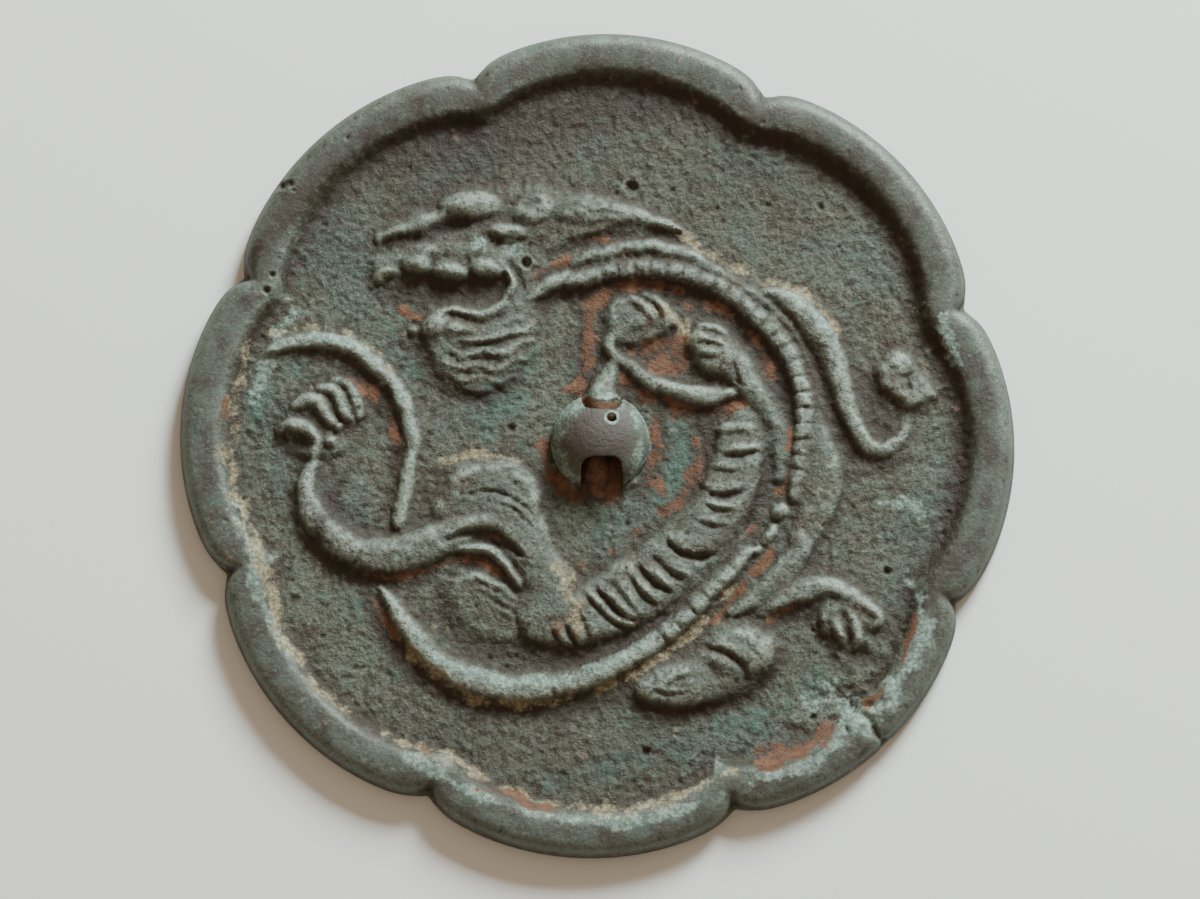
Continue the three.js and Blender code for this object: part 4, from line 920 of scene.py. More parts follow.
# Grime strokes are dirt and painted shade: the mouth, under the brow, beside forms on the sides away from
# the light, and the rim's inner slope at the top and right.
GRIME_AND_SHADE_STROKES = [
    [(-2, 24, 2.4), (2, 28, 3.0), (9, 29, 3.2), (17, 27.2, 3.0), (24.6, 22.6, 2.8), (30, 15.6, 2.4),
     (33, 8, 1.8)],
    [(6, 15.4, 2.2), (11, 14.6, 3.0), (14, 18, 2.8)],
    [(-3, 10, 2.0), (-2, 14, 2.6), (-2, 19, 2.6)],
    [(10.6, 7, 2.0), (11, 1, 1.8), (10.4, -4, 1.8), (8, -8, 1.8)],
    [(18, 3.6, 2.0), (19, -2, 2.0), (17.4, -8, 1.8)],
    [(-37, 27, 2.4), (-32, 27.4, 3.0), (-26, 27.2, 2.8), (-20, 27.2, 2.2), (-17.4, 27, 1.4)],
    [(-37.4, 36, 1.2), (-33, 37, 1.5), (-28, 38.6, 1.7), (-23.6, 39.2, 1.3)],
    [(-21, 36.2, 0.9), (-17, 35.8, 1.0), (-13.6, 36.4, 0.8)],
    [(-32, 18.6, 1.2), (-30.4, 14, 1.6), (-26, 9.4, 1.5), (-19, 8.6, 1.4), (-14.6, 11.4, 1.4)],
    [(-10, 24, 1.4), (-7, 26.6, 1.3), (-3, 28, 1.0)],
    [(-44.4, -4.4, 0.8), (-50, -16.6, 1.4), (-45.4, -22, 1.5), (-38, -24.6, 1.5), (-31, -24, 1.5)],
    [(-28, -26, 1.6), (-26.6, -32, 1.9), (-21, -36.6, 1.9), (-14, -37.6, 1.9), (-7, -38.8, 1.7),
     (0, -38.4, 1.5), (8, -34.4, 1.1), (16, -28.6, 1.0)],
    [(-41.4, -27.6, 1.2), (-38.4, -34.4, 1.5), (-32.8, -41, 1.6), (-25, -45.8, 1.7), (-15, -48, 1.7),
     (-4, -47.6, 1.6), (4, -45.6, 1.4)],
    [(5.6, -46, 1.4), (12, -48.6, 1.8), (20, -47.2, 1.6), (28, -43, 1.6), (33, -38.4, 1.2)],
    [(30, -33.4, 1.1), (36, -30.6, 1.2), (41, -33, 1.1), (43, -38.4, 1.3), (49, -38.8, 1.1)],
    [(-64, 30, 1.2), (-57.6, 38, 2.0), (-49.6, 46.2, 2.6), (-40.6, 51, 5), (-30, 53.6, 6.6),
     (-20, 55.4, 7.6), (-8, 58.4, 7.2), (3, 60.4, 6.4), (14, 60.6, 5), (24.6, 57.4, 4.0),
     (33.6, 54.8, 3.4), (43.4, 49.4, 3.0), (51.2, 41, 2.8), (56, 33.6, 2.6), (59, 23, 2.4),
     (63.6, 13, 2.3), (65.4, 2, 2.3), (64.6, -9, 2.2), (62, -20, 1.9), (58, -30, 1.4)],
    [(44, 4, 1.3), (46.4, -2.4, 1.5), (51, -4.4, 1.4), (56, -2.4, 1.0)],
    [(50, 12, 1.6), (49.8, 8.4, 2.2), (51, 4.6, 2.3), (52.8, 2.4, 1.8)],
    [(-57, 2.4, 1.2), (-55, -0.4, 1.7), (-52.4, -2.4, 1.5)],
    [(-44.4, 11.6, 1.6), (-40.6, 9.6, 2.2), (-37.4, 5.6, 2.0), (-36, 0.6, 1.6), (-36.6, -5, 1.2)],
    [(-7.4, -6, 1.4), (-4.6, -8.6, 1.4), (-1, -9.8, 1.4), (4, -9.6, 1.2)],
    [(-38.6, 12, 0.9), (-36.6, 6, 1.0), (-36, 0, 1.0)],
    [(4, 8.8, 1.0), (10, 8, 1.0), (17, 5.6, 1.2), (24, 6.6, 0.9)],
    [(33, 16, 0.7), (34.6, 10, 0.8), (35, 4, 0.8)],
    [(19, -19.6, 0.7), (24, -16.6, 0.9), (28.2, -11.4, 1.0), (30.4, -5, 0.9)],
]
SHADE_STROKES = [
    [(-54, 38, 6), (-40, 48, 9), (-20, 53, 11), (0, 54, 11), (18, 52, 10), (36, 46, 8)],
    [(-34, -50, 5), (-12, -56, 6), (12, -55, 5)],
]
SHADE = 0.5
CLAY_SMOOTHING, CLAY_RISE = 0.6, 0.12
grime_and_shade = np.maximum(step_up(paint(GRIME_AND_SHADE_STROKES), 0.1, 0.95), SHADE * paint(SHADE_STROKES))
verdigris = paint(VERDIGRIS_STROKES)
clay = paint(CLAY_STROKES) * (1 - 0.8 * step_up(relief, 0.7, 1.6))
dust_and_light = paint(DUST_AND_LIGHT_STROKES)
crust = paint(CRUST_STROKES)
buried = step_up(clay, 0.45, 0.75)
skin = skin * (1 - CLAY_SMOOTHING * buried) + CLAY_RISE * buried
print("clay covers", (100 * buried[edge_distance > 0].mean()).round(1), "percent")


# %% [markdown]
# The knob
#
# The knob is a dome, pierced from the near side to the far side for a cord. A tray of heights can't
# hold a hole that runs under metal, so the knob is a solid of its own. It starts as a sphere that
# is flattened and cut off a little below the field, so that it sinks into the back.

# %% Model the knob
KNOB_X, KNOB_Y, KNOB_RADIUS, KNOB_HEIGHT = 0.55, 0.1, 8.95, 7.55
KNOB_ROOT = 1.2
bpy.ops.mesh.primitive_uv_sphere_add(
    segments=96, ring_count=64, radius=1, location=(KNOB_X * MM, KNOB_Y * MM, FIELD_Z * MM),
    scale=(KNOB_RADIUS * MM, KNOB_RADIUS * MM, KNOB_HEIGHT * MM))
knob = bpy.context.object
knob.name = "knob"
settle(knob)
bpy.ops.object.mode_set(mode="EDIT")
bpy.ops.mesh.select_all(action="SELECT")
bpy.ops.mesh.bisect(plane_co=(0, 0, (FIELD_Z - KNOB_ROOT) * MM), plane_no=(0, 0, 1),
                    use_fill=True, clear_inner=True)
bpy.ops.object.mode_set(mode="OBJECT")
print("knob is", 2 * KNOB_RADIUS, "mm across and", KNOB_HEIGHT, "mm high")


# %% [markdown]
# The tunnel for the cord
#
# The tunnel is narrowest in the middle, and its near mouth is flared and taller. It is made from a
# circle that is extruded in steps of 1 m. The step numbers then say which station each point
# belongs to, and the points are moved to a squarish arch of that station's width and roof.

# %% Cut the tunnel for the cord
TUNNEL_X = 0.8
TUNNEL_STATIONS = np.array([
    [-12, 7.0, 9.0], [-7, 7.4, 8.4], [-4.8, 7.7, 7.5], [-3.4, 7.6, 6.6], [-2, 7.0, 5.6],
    [0.6, 6.5, 5.0], [3.2, 6.7, 5.2], [5.0, 7.0, 5.7], [6.2, 7.2, 6.2], [12, 7.6, 7.4],
])  # along y, width, roof above the field
ARCH_POINTS = 40
SQUARENESS = 0.55
TUNNEL_FLOOR = 0.8
start_clean()
bpy.ops.mesh.primitive_circle_add(vertices=ARCH_POINTS, radius=1, fill_type="NGON",
                                  rotation=(math.pi / 2, 0, 0))
tunnel = bpy.context.object
settle(tunnel)
bpy.ops.object.mode_set(mode="EDIT")
bpy.ops.mesh.select_all(action="SELECT")
for _ in TUNNEL_STATIONS[1:]:
    bpy.ops.mesh.extrude_region_move(TRANSFORM_OT_translate={"value": (0, 1, 0)})
bpy.ops.mesh.select_all(action="SELECT")
bpy.ops.mesh.normals_make_consistent(inside=False)
bpy.ops.object.mode_set(mode="OBJECT")
points = read_points(tunnel.data) * MM
station = np.rint(points[:, 1] - points[:, 1].min()).astype(int)
turn = np.arctan2(points[:, 2], points[:, 0])
side = np.sign(np.cos(turn)) * np.abs(np.cos(turn)) ** SQUARENESS
rise = np.sign(np.sin(turn)) * np.abs(np.sin(turn)) ** SQUARENESS
along_y, tunnel_width, roof = TUNNEL_STATIONS[station].T
rise *= np.where(rise > 0, roof, TUNNEL_FLOOR)
write_points(tunnel.data, np.column_stack([TUNNEL_X + side * tunnel_width / 2, KNOB_Y + along_y,
                                           FIELD_Z + rise]))


print("tunnel has", len(TUNNEL_STATIONS), "stations and", len(points), "points")


def combine(piece, tool, operation):
    """Cuts a closed tool out of a closed piece, or joins it on, and removes the tool."""
    choose(piece)
    change = piece.modifiers.new(operation.lower(), "BOOLEAN")
    change.operation = operation
    change.solver = "MANIFOLD"
    change.object = tool
    bpy.ops.object.modifier_apply(modifier=change.name)
    bpy.data.objects.remove(tool)


combine(knob, tunnel, "DIFFERENCE")


# %% [markdown]
# The chip and the wear
#
# A chip has broken out of the knob's top, down to the tunnel. It is cut with a rough cylinder of
# seven sides. A remesh and a little smoothing then wear all sharp edges round, as a cord and
# handling did.

# %% Chip the knob and wear its edges
CHIP_X, CHIP_Y, CHIP_Z = 2.6, 3.7, 6.4
CHIP_RADIUS, CHIP_DEPTH, CHIP_SIDES = 0.85, 4, 7
start_clean()
bpy.ops.mesh.primitive_cylinder_add(
    vertices=CHIP_SIDES, radius=CHIP_RADIUS * MM, depth=CHIP_DEPTH * MM,
    location=(CHIP_X * MM, CHIP_Y * MM, (FIELD_Z + CHIP_Z) * MM))
combine(knob, bpy.context.object, "DIFFERENCE")
KNOB_CELL = 0.26
choose(knob)
wear = knob.modifiers.new("wear", "REMESH")
wear.mode = "VOXEL"
wear.voxel_size = KNOB_CELL * MM
bpy.ops.object.modifier_apply(modifier=wear.name)
soften_edges = knob.modifiers.new("soften", "SMOOTH")
soften_edges.factor = 0.5
soften_edges.iterations = 12
bpy.ops.object.modifier_apply(modifier=soften_edges.name)
print("knob has", len(knob.data.polygons), "faces")


# %% [markdown]
# Press the back
#
# Now the wrapped grid is lifted by the rim's section, the relief and the skin. The cold shut dents
# the edge, and the rim's top wanders up and down a little, as a hand-finished rim does.

# %% Lift the grid
DENT_DEPTH, DENT_SPAN = 1.3, 0.7
edge_dent = DENT_DEPTH * np.exp(-(((np.degrees(angle) % 360 - FLAW_ANGLE) / DENT_SPAN) ** 2))
plan *= (1 - edge_dent * np.clip(along_section / section_length[-1], 0, 1) ** 3
         / np.maximum(radius, 1))[:, None]
wobble = 0.1 * np.sin(3 * angle + 0.7) + 0.08 * np.sin(7 * angle + 2)
near_edge = step_up(inset, 0.0, 1.2)
height = rim_z + sample(relief, *plan.T) + sample(skin, *plan.T) * near_edge
height += wobble * step_up(SECTION_INSET[0] - inset, 2, 6) * near_edge
write_points(mirror.data, np.column_stack([plan, height]))
print("back stands", height.max().round(2), "mm high without the knob")


# %% [markdown]
# Close the casting
#
# The grid's free edge is extruded down in a few rings for the rounded edge, and filled to make the
# polished face. In the notches the founder left a thin web of flash, so the lower rings follow a
# shallower outline.

# %% Round the edge and fill the polished face
EDGE_RINGS = np.array([
    [0.02, 1.7], [0.12, 1.1], [0.3, 0.55], [0.55, 0.18], [0.85, 0.03], [1.2, 0.0],
])  # inset from the outermost line, height
first_new = len(mirror.data.vertices)
choose(mirror)
bpy.ops.object.mode_set(mode="EDIT")
bpy.ops.mesh.select_mode(type="EDGE")
bpy.ops.mesh.select_all(action="DESELECT")
bpy.ops.mesh.select_non_manifold()
for _ in EDGE_RINGS:
    bpy.ops.mesh.extrude_edges_move(TRANSFORM_OT_translate={"value": (0, 0, -0.3 * MM)})
bpy.ops.mesh.edge_face_add()
bpy.ops.object.mode_set(mode="OBJECT")
points = read_points(mirror.data)
new_points = points[first_new:]
loop_size = len(new_points) // len(EDGE_RINGS)
ring_number = np.arange(len(new_points)) // loop_size
ring_inset, ring_z = EDGE_RINGS[ring_number].T
new_angle = np.arctan2(new_points[:, 1], new_points[:, 0])
sharp = np.hypot(new_points[:, 0], new_points[:, 1])
webbed = np.maximum(sharp, look_up(web_outline, new_angle) - 0.15)
web_share = step_up(EDGE_Z - ring_z, 0, 1.0)
new_radius = sharp * (1 - web_share) + webbed * web_share - ring_inset
points[first_new:] = np.column_stack([new_radius * np.cos(new_angle),
                                      new_radius * np.sin(new_angle), ring_z])
write_points(mirror.data, points)
choose(mirror)
bpy.ops.object.mode_set(mode="EDIT")
bpy.ops.mesh.select_all(action="SELECT")
bpy.ops.mesh.normals_make_consistent(inside=False)
bpy.ops.object.mode_set(mode="OBJECT")
print("edge closed with", len(EDGE_RINGS), "rings of", loop_size, "points")


# %% [markdown]
# One casting
#
# The real mirror is one piece of metal, so the knob is joined to the back with a boolean. Before
# that, a decimate thins the mesh out where it is nearly flat and keeps its points where the relief
# bends.

# %% Thin out the flat parts, then join the knob to the back
MOST_TRIANGLES = 168000
SMOOTH_BELOW = math.radians(60)
triangles = 2 * GRID_STEPS**2 + 2 * loop_size * (len(EDGE_RINGS) + 0.5)
thin = mirror.modifiers.new("thin", "DECIMATE")
thin.ratio = MOST_TRIANGLES / triangles
choose(mirror)
bpy.ops.object.modifier_apply(modifier=thin.name)
combine(mirror, knob, "UNION")
choose(mirror)
bpy.ops.object.shade_smooth_by_angle(angle=SMOOTH_BELOW)
mirror.data.calc_loop_triangles()
print("casting has", len(mirror.data.vertices), "points and", len(mirror.data.loop_triangles),
      "triangles")


# %% [markdown]
# Masks for the finish
#
# Patina follows the form: dirt and painted shade darken the hollows, and hands wear the tops and the
# rim, which also get a painted highlight. Both are read off the height tray by comparing it with a
# blurred copy of itself. The knob isn't on the tray, so its masks are worked out from the distance
# to its middle. Every mask becomes an attribute of the mesh's points, which the material reads.

# %% Store the masks on the mesh
rim_tray = np.interp(np.clip(edge_distance, 0, SECTION_INSET[0]), SECTION_INSET[::-1],
                     SECTION_Z[::-1]) - FIELD_Z
full_tray = relief + skin + rim_tray
dip = blur(full_tray, 0.8) - full_tray
wide_dip = blur(full_tray, 2.4) - full_tray
# Dirt and painted shade: recesses darken by how far they lie below a blurred copy of the tray.
shade_and_dirt_tray = step_up(dip + 0.6 * wide_dip, 0.02, 0.45)
ridge = full_tray - blur(full_tray, 1.5)
# Wear and painted highlight: crests that stand above a blurred copy of the tray are lightened.
worn_and_highlight_tray = step_up(ridge - 0.5 * dip, 0.2, 0.7)
points = read_points(mirror.data)
flat_points = points[:, :2].T
knob_distance = np.hypot(points[:, 0] - KNOB_X, points[:, 1] - KNOB_Y)
dome = KNOB_HEIGHT * np.sqrt(np.clip(1 - (knob_distance / KNOB_RADIUS) ** 2, 0, 1))
above_field = points[:, 2] - FIELD_Z
top_side = points[:, 2] > EDGE_Z
knob_share = step_up(KNOB_RADIUS + 0.4 - knob_distance, 0, 0.6) * (above_field > 0.6)
in_tunnel = step_up(dome - above_field, 0.5, 1.1) * (knob_distance < KNOB_RADIUS - 0.3)
MOUTH_HALF_WIDTH, MOUTH_TOP = 3.9, 3.8
toward_mouth = KNOB_Y - points[:, 1]
in_mouth = step_up(MOUTH_HALF_WIDTH - np.abs(points[:, 0] - TUNNEL_X), 0, 0.5)
in_mouth *= step_up(toward_mouth, 2.5, 3.2) * (1 - step_up(toward_mouth, 8.6, 11.5))
in_mouth *= above_field < MOUTH_TOP
in_tunnel = np.maximum(in_tunnel, in_mouth)
bare_knob = knob_share * (1 - in_tunnel)
open_top = top_side * (1 - knob_share)


def store(name, values):
    layer = mirror.data.attributes.new(name, "FLOAT", "POINT")
    layer.data.foreach_set("value", np.ascontiguousarray(values, dtype=np.float32))


def on_back(tray):
    """A tray's values at the casting's points, on the open top only."""
    return sample(tray, *flat_points) * open_top


WEB_X, WEB_Y, WEB_SIZE = -64.8, 31.2, 1.7
web_distance = np.hypot(points[:, 0] - WEB_X, points[:, 1] - WEB_Y)
web_soil = np.exp(-((web_distance / WEB_SIZE) ** 2)) * (1 - top_side)
far_side = step_up(points[:, 1] - KNOB_Y, 3, 5.5)
knob_side = knob_share * step_up(knob_distance, 4, 8) * (1 - in_tunnel)
LIP_RADIUS, LIP_WIDTH = 1.15, 0.35
chip_distance = np.hypot(points[:, 0] - CHIP_X, points[:, 1] - CHIP_Y)
chip_lip = np.exp(-(((chip_distance - LIP_RADIUS) / LIP_WIDTH) ** 2)) * knob_share * (1 - in_tunnel)
knob_crust = np.maximum(0.75 * knob_side, 1.3 * chip_lip) + 0.3 * knob_side * far_side
MASKS = {
    # The hollows and the inside of the tunnel are darkened as dirt and as painted shade.
    "hollow": np.maximum(on_back(shade_and_dirt_tray), 0.8 * in_tunnel),
    # Grime, and the dark inside of the tunnel, are dirt together with painted shade.
    "grime_and_shade": np.maximum(on_back(grime_and_shade), 0.95 * in_tunnel),
    # Worn tops, lightened both as wear and as a painted highlight.
    "worn_and_highlight": np.maximum(on_back(worn_and_highlight_tray), 0.2 * bare_knob),
    "clay": np.maximum(on_back(clay), np.maximum(0.8 * in_tunnel, web_soil)),
    # Pale dust, which is partly painted light on slopes facing the window.
    "dust_and_light": np.maximum(on_back(dust_and_light), 0.9 * in_tunnel * far_side),
    "verdigris": on_back(verdigris),
    "crust": np.maximum(on_back(crust), knob_crust),
    "rim": np.maximum((1 - sample(on_field, *flat_points)) * top_side, 0.7 * knob_share),
    "raised": np.maximum(on_back(step_up(relief, 0.4, 1.5)), knob_share),
    "knob": bare_knob * step_up(KNOB_RADIUS - knob_distance, 1, 5),
}
for name, values in MASKS.items():
    store(name, values)
print("stored", len(MASKS), "masks")


# %% [markdown]
# Colours of a long buried bronze
#
# The finish is built in layers, the way it grew: first the mottled grey-green patina, darker in the
# hollows with dirt and painted shade, and lighter on the tops with wear and a painted highlight, then
# green mineral crust, sandy dust with some painted light, and clay on top of it.
# The patina is one node group with named inputs and the soil and crust are another, so that each
# can be tried alone. The helpers below make one kind of node each.

# %% Helpers for node groups
def tone(red, green, blue):
    """A screen colour, 0 to 255, as the linear colour that shaders use."""
    values = np.array([red, green, blue]) / 255
    linear = np.where(values <= 0.04045, values / 12.92, ((values + 0.055) / 1.055) ** 2.4)
    return (*[float(value) for value in linear], 1.0)


def new_group(name, inputs, outputs):
    group = bpy.data.node_groups.new(name, "ShaderNodeTree")
    for label, kind, value in inputs:
        socket = group.interface.new_socket(name=label, in_out="INPUT", socket_type=kind)
        socket.default_value = value
    for label, kind in outputs:
        group.interface.new_socket(name=label, in_out="OUTPUT", socket_type=kind)
    given = group.nodes.new("NodeGroupInput").outputs
    return group, given, group.nodes.new("NodeGroupOutput").inputs


def feed(tree, socket, value):
    if isinstance(value, bpy.types.NodeSocket):
        tree.links.new(value, socket)
    else:
        socket.default_value = value


def noise(tree, place, size, detail=4.0, rough=0.55):
    """Noise whose largest lumps are about size millimetres across."""
    node = tree.nodes.new("ShaderNodeTexNoise")
    feed(tree, node.inputs["Vector"], place)
    node.inputs["Scale"].default_value = 1 / (size * MM)
    node.inputs["Detail"].default_value = detail
    node.inputs["Roughness"].default_value = rough
    return node.outputs["Fac"]


def math_node(tree, operation, first, second=0.0):
    node = tree.nodes.new("ShaderNodeMath")
    node.operation = operation
    feed(tree, node.inputs[0], first)
    feed(tree, node.inputs[1], second)
    return node.outputs[0]


def times(tree, first, second):
    return math_node(tree, "MULTIPLY", first, second)


def plus(tree, first, second):
    return math_node(tree, "ADD", first, second)


def band(tree, value, low, high, bottom=0.0, top=1.0):
    """Smooth step from bottom to top, as a value climbs from low to high."""
    node = tree.nodes.new("ShaderNodeMapRange")
    node.interpolation_type = "SMOOTHSTEP"
    feed(tree, node.inputs["Value"], value)
    node.inputs["From Min"].default_value = low
    node.inputs["From Max"].default_value = high
    node.inputs["To Min"].default_value = bottom
    node.inputs["To Max"].default_value = top
    return node.outputs["Result"]


def mix(tree, share, first, second, kind="RGBA"):
    node = tree.nodes.new("ShaderNodeMix")
    node.data_type = kind
    feed(tree, node.inputs["Factor"], share)
    sockets = [socket for socket in node.inputs if socket.enabled and socket.name in "AB"]
    feed(tree, sockets[0], first)
    feed(tree, sockets[1], second)
    return [socket for socket in node.outputs if socket.enabled][0]


PLACE, MASK, COLOR = "NodeSocketVector", "NodeSocketFloat", "NodeSocketColor"
print("helpers for node groups are ready")


# %% [markdown]
# Patina
#
# The patina is mottled at four sizes, from clouds 22 mm across to grit of about 0.6 mm. The ground,
# the raised forms and the rim have tones of their own. Wear and a painted highlight lighten the tops,
# pale and dark grit gives the cast skin its grain, green blooms in patches, and dirt and grime darken
# the hollows last, as painted shade as well. The same noise also gives the fine bumps, which are
# weaker where the metal is worn smooth.

# %% Patina
patina, given, result = new_group(
    "patina",
    [("Place", PLACE, (0, 0, 0))]
    + [(label, MASK, 0.0) for label in ["Hollow", "Grime_And_Shade", "Worn_And_Highlight", "Rim", "Raised", "Verdigris"]],
    [("Color", COLOR), ("Roughness", MASK), ("Height", MASK)])
clouds = noise(patina, given["Place"], 22, 5)
blotches = noise(patina, given["Place"], 6, 6, 0.62)
freckles = noise(patina, given["Place"], 1.5, 5, 0.7)
grit = noise(patina, given["Place"], 0.62, 4, 0.7)
brown_share = times(patina, band(patina, blotches, 0.46, 0.66), 0.7)
ground = mix(patina, brown_share, tone(84, 89, 76), tone(64, 54, 40))
ground = mix(patina, band(patina, clouds, 0.46, 0.66), ground, tone(72, 84, 73))
smooth = mix(patina, band(patina, blotches, 0.42, 0.64), tone(82, 89, 78), tone(72, 64, 50))
smooth = mix(patina, band(patina, freckles, 0.52, 0.72), smooth, tone(90, 100, 88))
rim_tone = mix(patina, band(patina, blotches, 0.4, 0.62), tone(74, 81, 72), tone(55, 49, 41))
rim_tone = mix(patina, band(patina, freckles, 0.54, 0.74), rim_tone, tone(96, 106, 96))
color = mix(patina, given["Raised"], ground, smooth)
color = mix(patina, given["Rim"], color, rim_tone)
# Painted highlight with wear: the crests are lightened towards a pale grey-green.
worn_highlight = times(patina, given["Worn_And_Highlight"], mix(patina, given["Rim"], 0.9, 0.25, "FLOAT"))
color = mix(patina, worn_highlight, color, tone(136, 149, 136))
grain_share = mix(patina, given["Rim"], 0.5, 0.3, "FLOAT")
dark_share = mix(patina, given["Rim"], 0.8, 0.45, "FLOAT")
pale = times(patina, band(patina, grit, 0.54, 0.68), grain_share)
color = mix(patina, pale, color, tone(126, 133, 118))
dark_grain = times(patina, band(patina, grit, 0.48, 0.34), dark_share)
color = mix(patina, dark_grain, color, tone(40, 35, 26))
dark_fleck = times(patina, band(patina, freckles, 0.46, 0.3), 0.75)
color = mix(patina, dark_fleck, color, tone(44, 36, 26))
bloom = noise(patina, given["Place"], 5, 6, 0.65)
bloom = plus(patina, bloom, times(patina, given["Verdigris"], 0.22))
green_share = times(patina, band(patina, bloom, 0.56, 0.74), 0.6)
color = mix(patina, green_share, color, tone(66, 98, 86))
# Painted shade with dirt: the hollows darken to dark brown.
shade_and_dirt_share = times(patina, given["Hollow"], band(patina, freckles, 0.65, 0.35, 0.55, 0.95))
color = mix(patina, shade_and_dirt_share, color, tone(46, 33, 20))
# Painted shade with the grime: a dark brown film beside forms, down the rim's shaded inner slope and
# inside the tunnel.
grime_and_shade_film = times(patina, given["Grime_And_Shade"], band(patina, freckles, 0.68, 0.4, 0.45, 0.95))
color = mix(patina, grime_and_shade_film, color, tone(44, 32, 20))
feed(patina, result["Color"], color)
rough = mix(patina, given["Worn_And_Highlight"], 0.66, 0.46, "FLOAT")
rough = plus(patina, rough, band(patina, freckles, 0.3, 0.7, -0.08, 0.1))
feed(patina, result["Roughness"], rough)
smoothed = math_node(patina, "MAXIMUM", times(patina, given["Worn_And_Highlight"], 0.5), given["Rim"])
bumps = plus(patina, grit, times(patina, freckles, 1.2))
bumps = times(patina, bumps, mix(patina, smoothed, 1.0, 0.35, "FLOAT"))
feed(patina, result["Height"], bumps)
print("patina has", len(patina.nodes), "nodes")


# %% [markdown]
# Soil and crust
#
# Crust, dust and clay lie over the patina in that order, and the pale dust layer also carries painted
# light on slopes that face the window. Each has two tones that mix by noise, and the clay has dark
# pores besides. Each painted mask gets a ragged border from the same noise. Soil is dull, so it also
# raises the roughness.

# %% Soil and crust
soil, given, result = new_group(
    "soil_and_crust",
    [("Place", PLACE, (0, 0, 0)), ("Under", COLOR, (0.5, 0.5, 0.5, 1)),
     ("Under Roughness", MASK, 0.6)]
    + [(label, MASK, 0.0) for label in ["Clay", "Dust_And_Light", "Crust"]],
    [("Color", COLOR), ("Roughness", MASK)])
patches = noise(soil, given["Place"], 4, 6, 0.62)
specks = noise(soil, given["Place"], 0.8, 4, 0.65)
ragged = plus(soil, times(soil, patches, 3.2), times(soil, specks, 0.4))
RAGGED_MIDDLE = 1.8


def cover(mask, low, high):
    """Breaks the soft border of a painted mask with noise."""
    spread = math_node(soil, "SUBTRACT", ragged, RAGGED_MIDDLE)
    return band(soil, plus(soil, mask, spread), low, high)


crust_tone = mix(soil, band(soil, specks, 0.4, 0.62), tone(94, 116, 104), tone(148, 168, 156))
crust_share = times(soil, cover(given["Crust"], 0.45, 1.0), 0.78)
color = mix(soil, crust_share, given["Under"], crust_tone)
# Pale dust tones, which on slopes facing the window also stand for painted light.
dust_and_light_tone = mix(soil, band(soil, specks, 0.4, 0.65), tone(118, 108, 82), tone(172, 164, 132))
dust_and_light_share = times(soil, cover(given["Dust_And_Light"], 0.45, 1.0), 0.75)
color = mix(soil, dust_and_light_share, color, dust_and_light_tone)
clay_tone = mix(soil, band(soil, patches, 0.36, 0.66), tone(74, 49, 34), tone(112, 79, 57))
pores = times(soil, band(soil, specks, 0.46, 0.34), 0.75)
clay_tone = mix(soil, pores, clay_tone, tone(48, 32, 21))
clay_share = cover(given["Clay"], 0.48, 0.84)
color = mix(soil, clay_share, color, clay_tone)
feed(soil, result["Color"], color)
covered = math_node(soil, "MAXIMUM", clay_share, dust_and_light_share)
feed(soil, result["Roughness"], mix(soil, covered, given["Under Roughness"], 0.82, "FLOAT"))
print("soil and crust have", len(soil.nodes), "nodes")


# %% [markdown]
# The material
#
# The material feeds the stored masks to the two groups, one after the other. The knob was handled
# most and has a browner tone, which lies between the patina and the soil. The metal shows through
# only where the tops are worn, so these alone are a little metallic.

# %% Material of the casting
BUMP_DEPTH = 0.34
material = bpy.data.materials.new("patinated_bronze")
material.use_nodes = True
tree = material.node_tree
shader = tree.nodes["Principled BSDF"]


def mask(name):
    node = tree.nodes.new("ShaderNodeAttribute")
    node.attribute_name = name
    return node.outputs["Fac"]


place = tree.nodes.new("ShaderNodeTexCoord").outputs["Object"]
metal = tree.nodes.new("ShaderNodeGroup")
metal.node_tree = patina
feed(tree, metal.inputs["Place"], place)
for label in ["Hollow", "Grime_And_Shade", "Worn_And_Highlight", "Rim", "Raised", "Verdigris"]:
    feed(tree, metal.inputs[label], mask(label.lower()))
knob_color = mix(tree, times(tree, mask("knob"), 0.8), metal.outputs["Color"],
                 tone(64, 52, 46))
earth = tree.nodes.new("ShaderNodeGroup")
earth.node_tree = soil
feed(tree, earth.inputs["Place"], place)
feed(tree, earth.inputs["Under"], knob_color)
feed(tree, earth.inputs["Under Roughness"], metal.outputs["Roughness"])
for label in ["Clay", "Dust_And_Light", "Crust"]:
    feed(tree, earth.inputs[label], mask(label.lower()))
grain = tree.nodes.new("ShaderNodeBump")
grain.inputs["Strength"].default_value = 1.0
grain.inputs["Distance"].default_value = BUMP_DEPTH * MM
feed(tree, grain.inputs["Height"], metal.outputs["Height"])
feed(tree, shader.inputs["Base Color"], earth.outputs["Color"])
feed(tree, shader.inputs["Roughness"], earth.outputs["Roughness"])
feed(tree, shader.inputs["Metallic"], times(tree, mask("worn_and_highlight"), 0.3))
feed(tree, shader.inputs["Normal"], grain.outputs["Normal"])
mirror.data.materials.clear()
mirror.data.materials.append(material)
print("finish made of", len(tree.nodes), "nodes and 2 groups")


# %% [markdown]
# Floor, light and camera
#
# The mirror lies on a plain pale floor. One broad, slightly cool light stands beyond the upper right,
# low enough to draw the relief, and a warm, dimmer room fills the shadows. The camera looks almost
# straight down, from slightly below the mirror's lower edge, and from far enough that the view is
# nearly parallel.

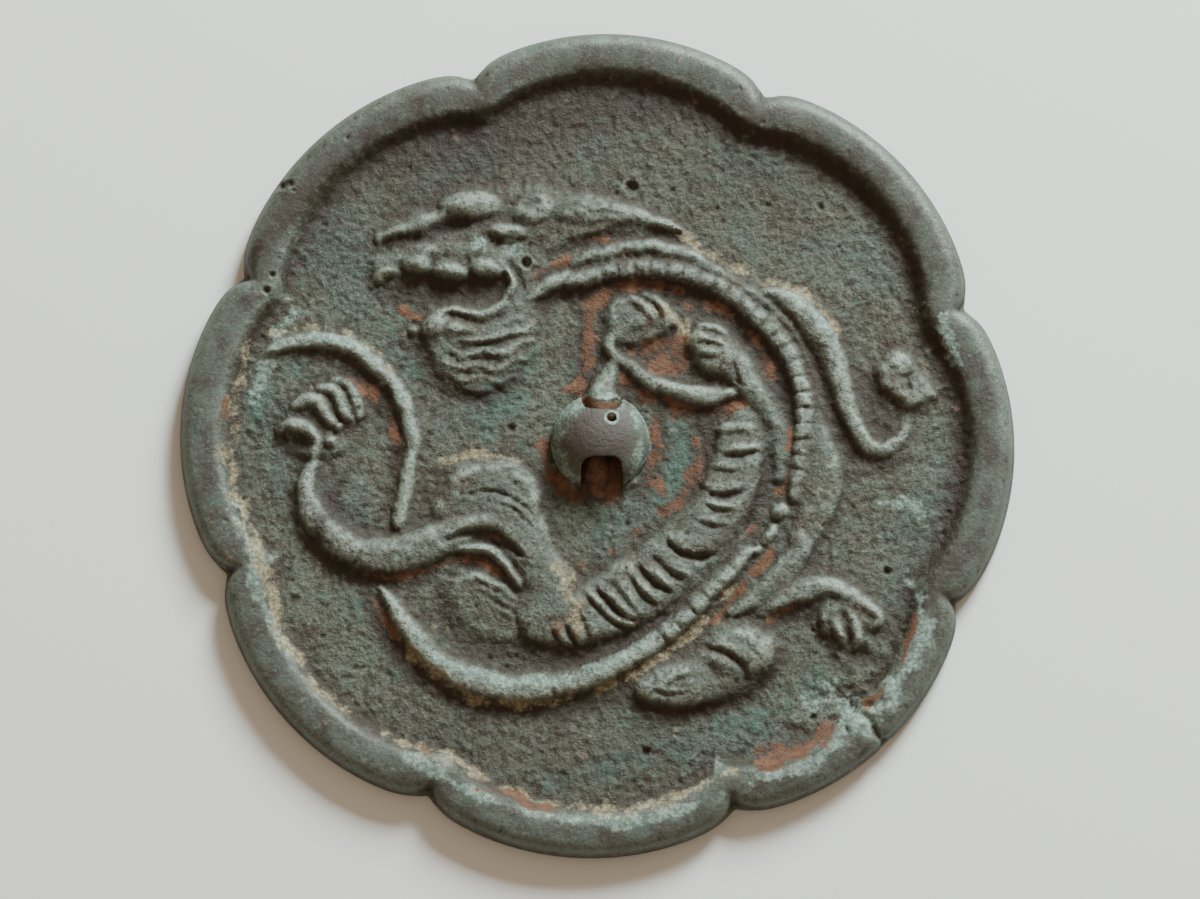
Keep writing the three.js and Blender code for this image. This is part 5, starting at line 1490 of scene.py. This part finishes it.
# %% Set the stage
FLOOR_SIZE = 3
FLOOR_COLOR = (0.825, 0.86, 0.825, 1)
ROOM_COLOR, ROOM_STRENGTH = (1.0, 0.76, 0.57, 1), 0.46
WINDOW_PLACE, WINDOW_SIZE = (0.468, 0.918, 0.595), 0.42
WINDOW_COLOR, WINDOW_POWER = (0.87, 0.97, 1.0), 39.0
start_clean()
bpy.ops.mesh.primitive_plane_add(size=FLOOR_SIZE)
floor = bpy.context.object
floor.name = "floor"
paper = bpy.data.materials.new("pale_floor")
paper.use_nodes = True
paper_shader = paper.node_tree.nodes["Principled BSDF"]
paper_shader.inputs["Base Color"].default_value = FLOOR_COLOR
paper_shader.inputs["Roughness"].default_value = 0.9
floor.data.materials.append(paper)

world = bpy.data.worlds.new("room")
bpy.context.scene.world = world
world.use_nodes = True
sky = world.node_tree.nodes["Background"]
sky.inputs["Color"].default_value = ROOM_COLOR
sky.inputs["Strength"].default_value = ROOM_STRENGTH

start_clean()
bpy.ops.object.light_add(type="AREA", location=WINDOW_PLACE)
window_light = bpy.context.object
window_light.name = "window"
window_light.data.size = WINDOW_SIZE
window_light.data.energy = WINDOW_POWER
window_light.data.color = WINDOW_COLOR
window_light.rotation_euler = (-window_light.location).to_track_quat("-Z", "Y").to_euler()
print("light stands", round(window_light.location.length, 2), "m from the mirror")

# %% Place the camera
CAMERA_DISTANCE = 2.4
CAMERA_LENS = 401
CAMERA_OFF_X, CAMERA_OFF_Y = 0.0005, -0.0011
start_clean()
bpy.ops.object.camera_add(
    location=(CAMERA_OFF_X, CAMERA_OFF_Y - CAMERA_DISTANCE * math.sin(VIEW_TILT),
              FIELD_Z * MM + CAMERA_DISTANCE * math.cos(VIEW_TILT)),
    rotation=(VIEW_TILT, 0, 0))
camera = bpy.context.object
camera.data.lens = CAMERA_LENS
camera.data.clip_start = 0.05
bpy.context.scene.camera = camera
print("camera looks from", CAMERA_DISTANCE, "m away")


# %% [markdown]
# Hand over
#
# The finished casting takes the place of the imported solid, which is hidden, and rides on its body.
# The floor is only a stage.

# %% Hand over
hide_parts(SOLID)
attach(mirror, "root")
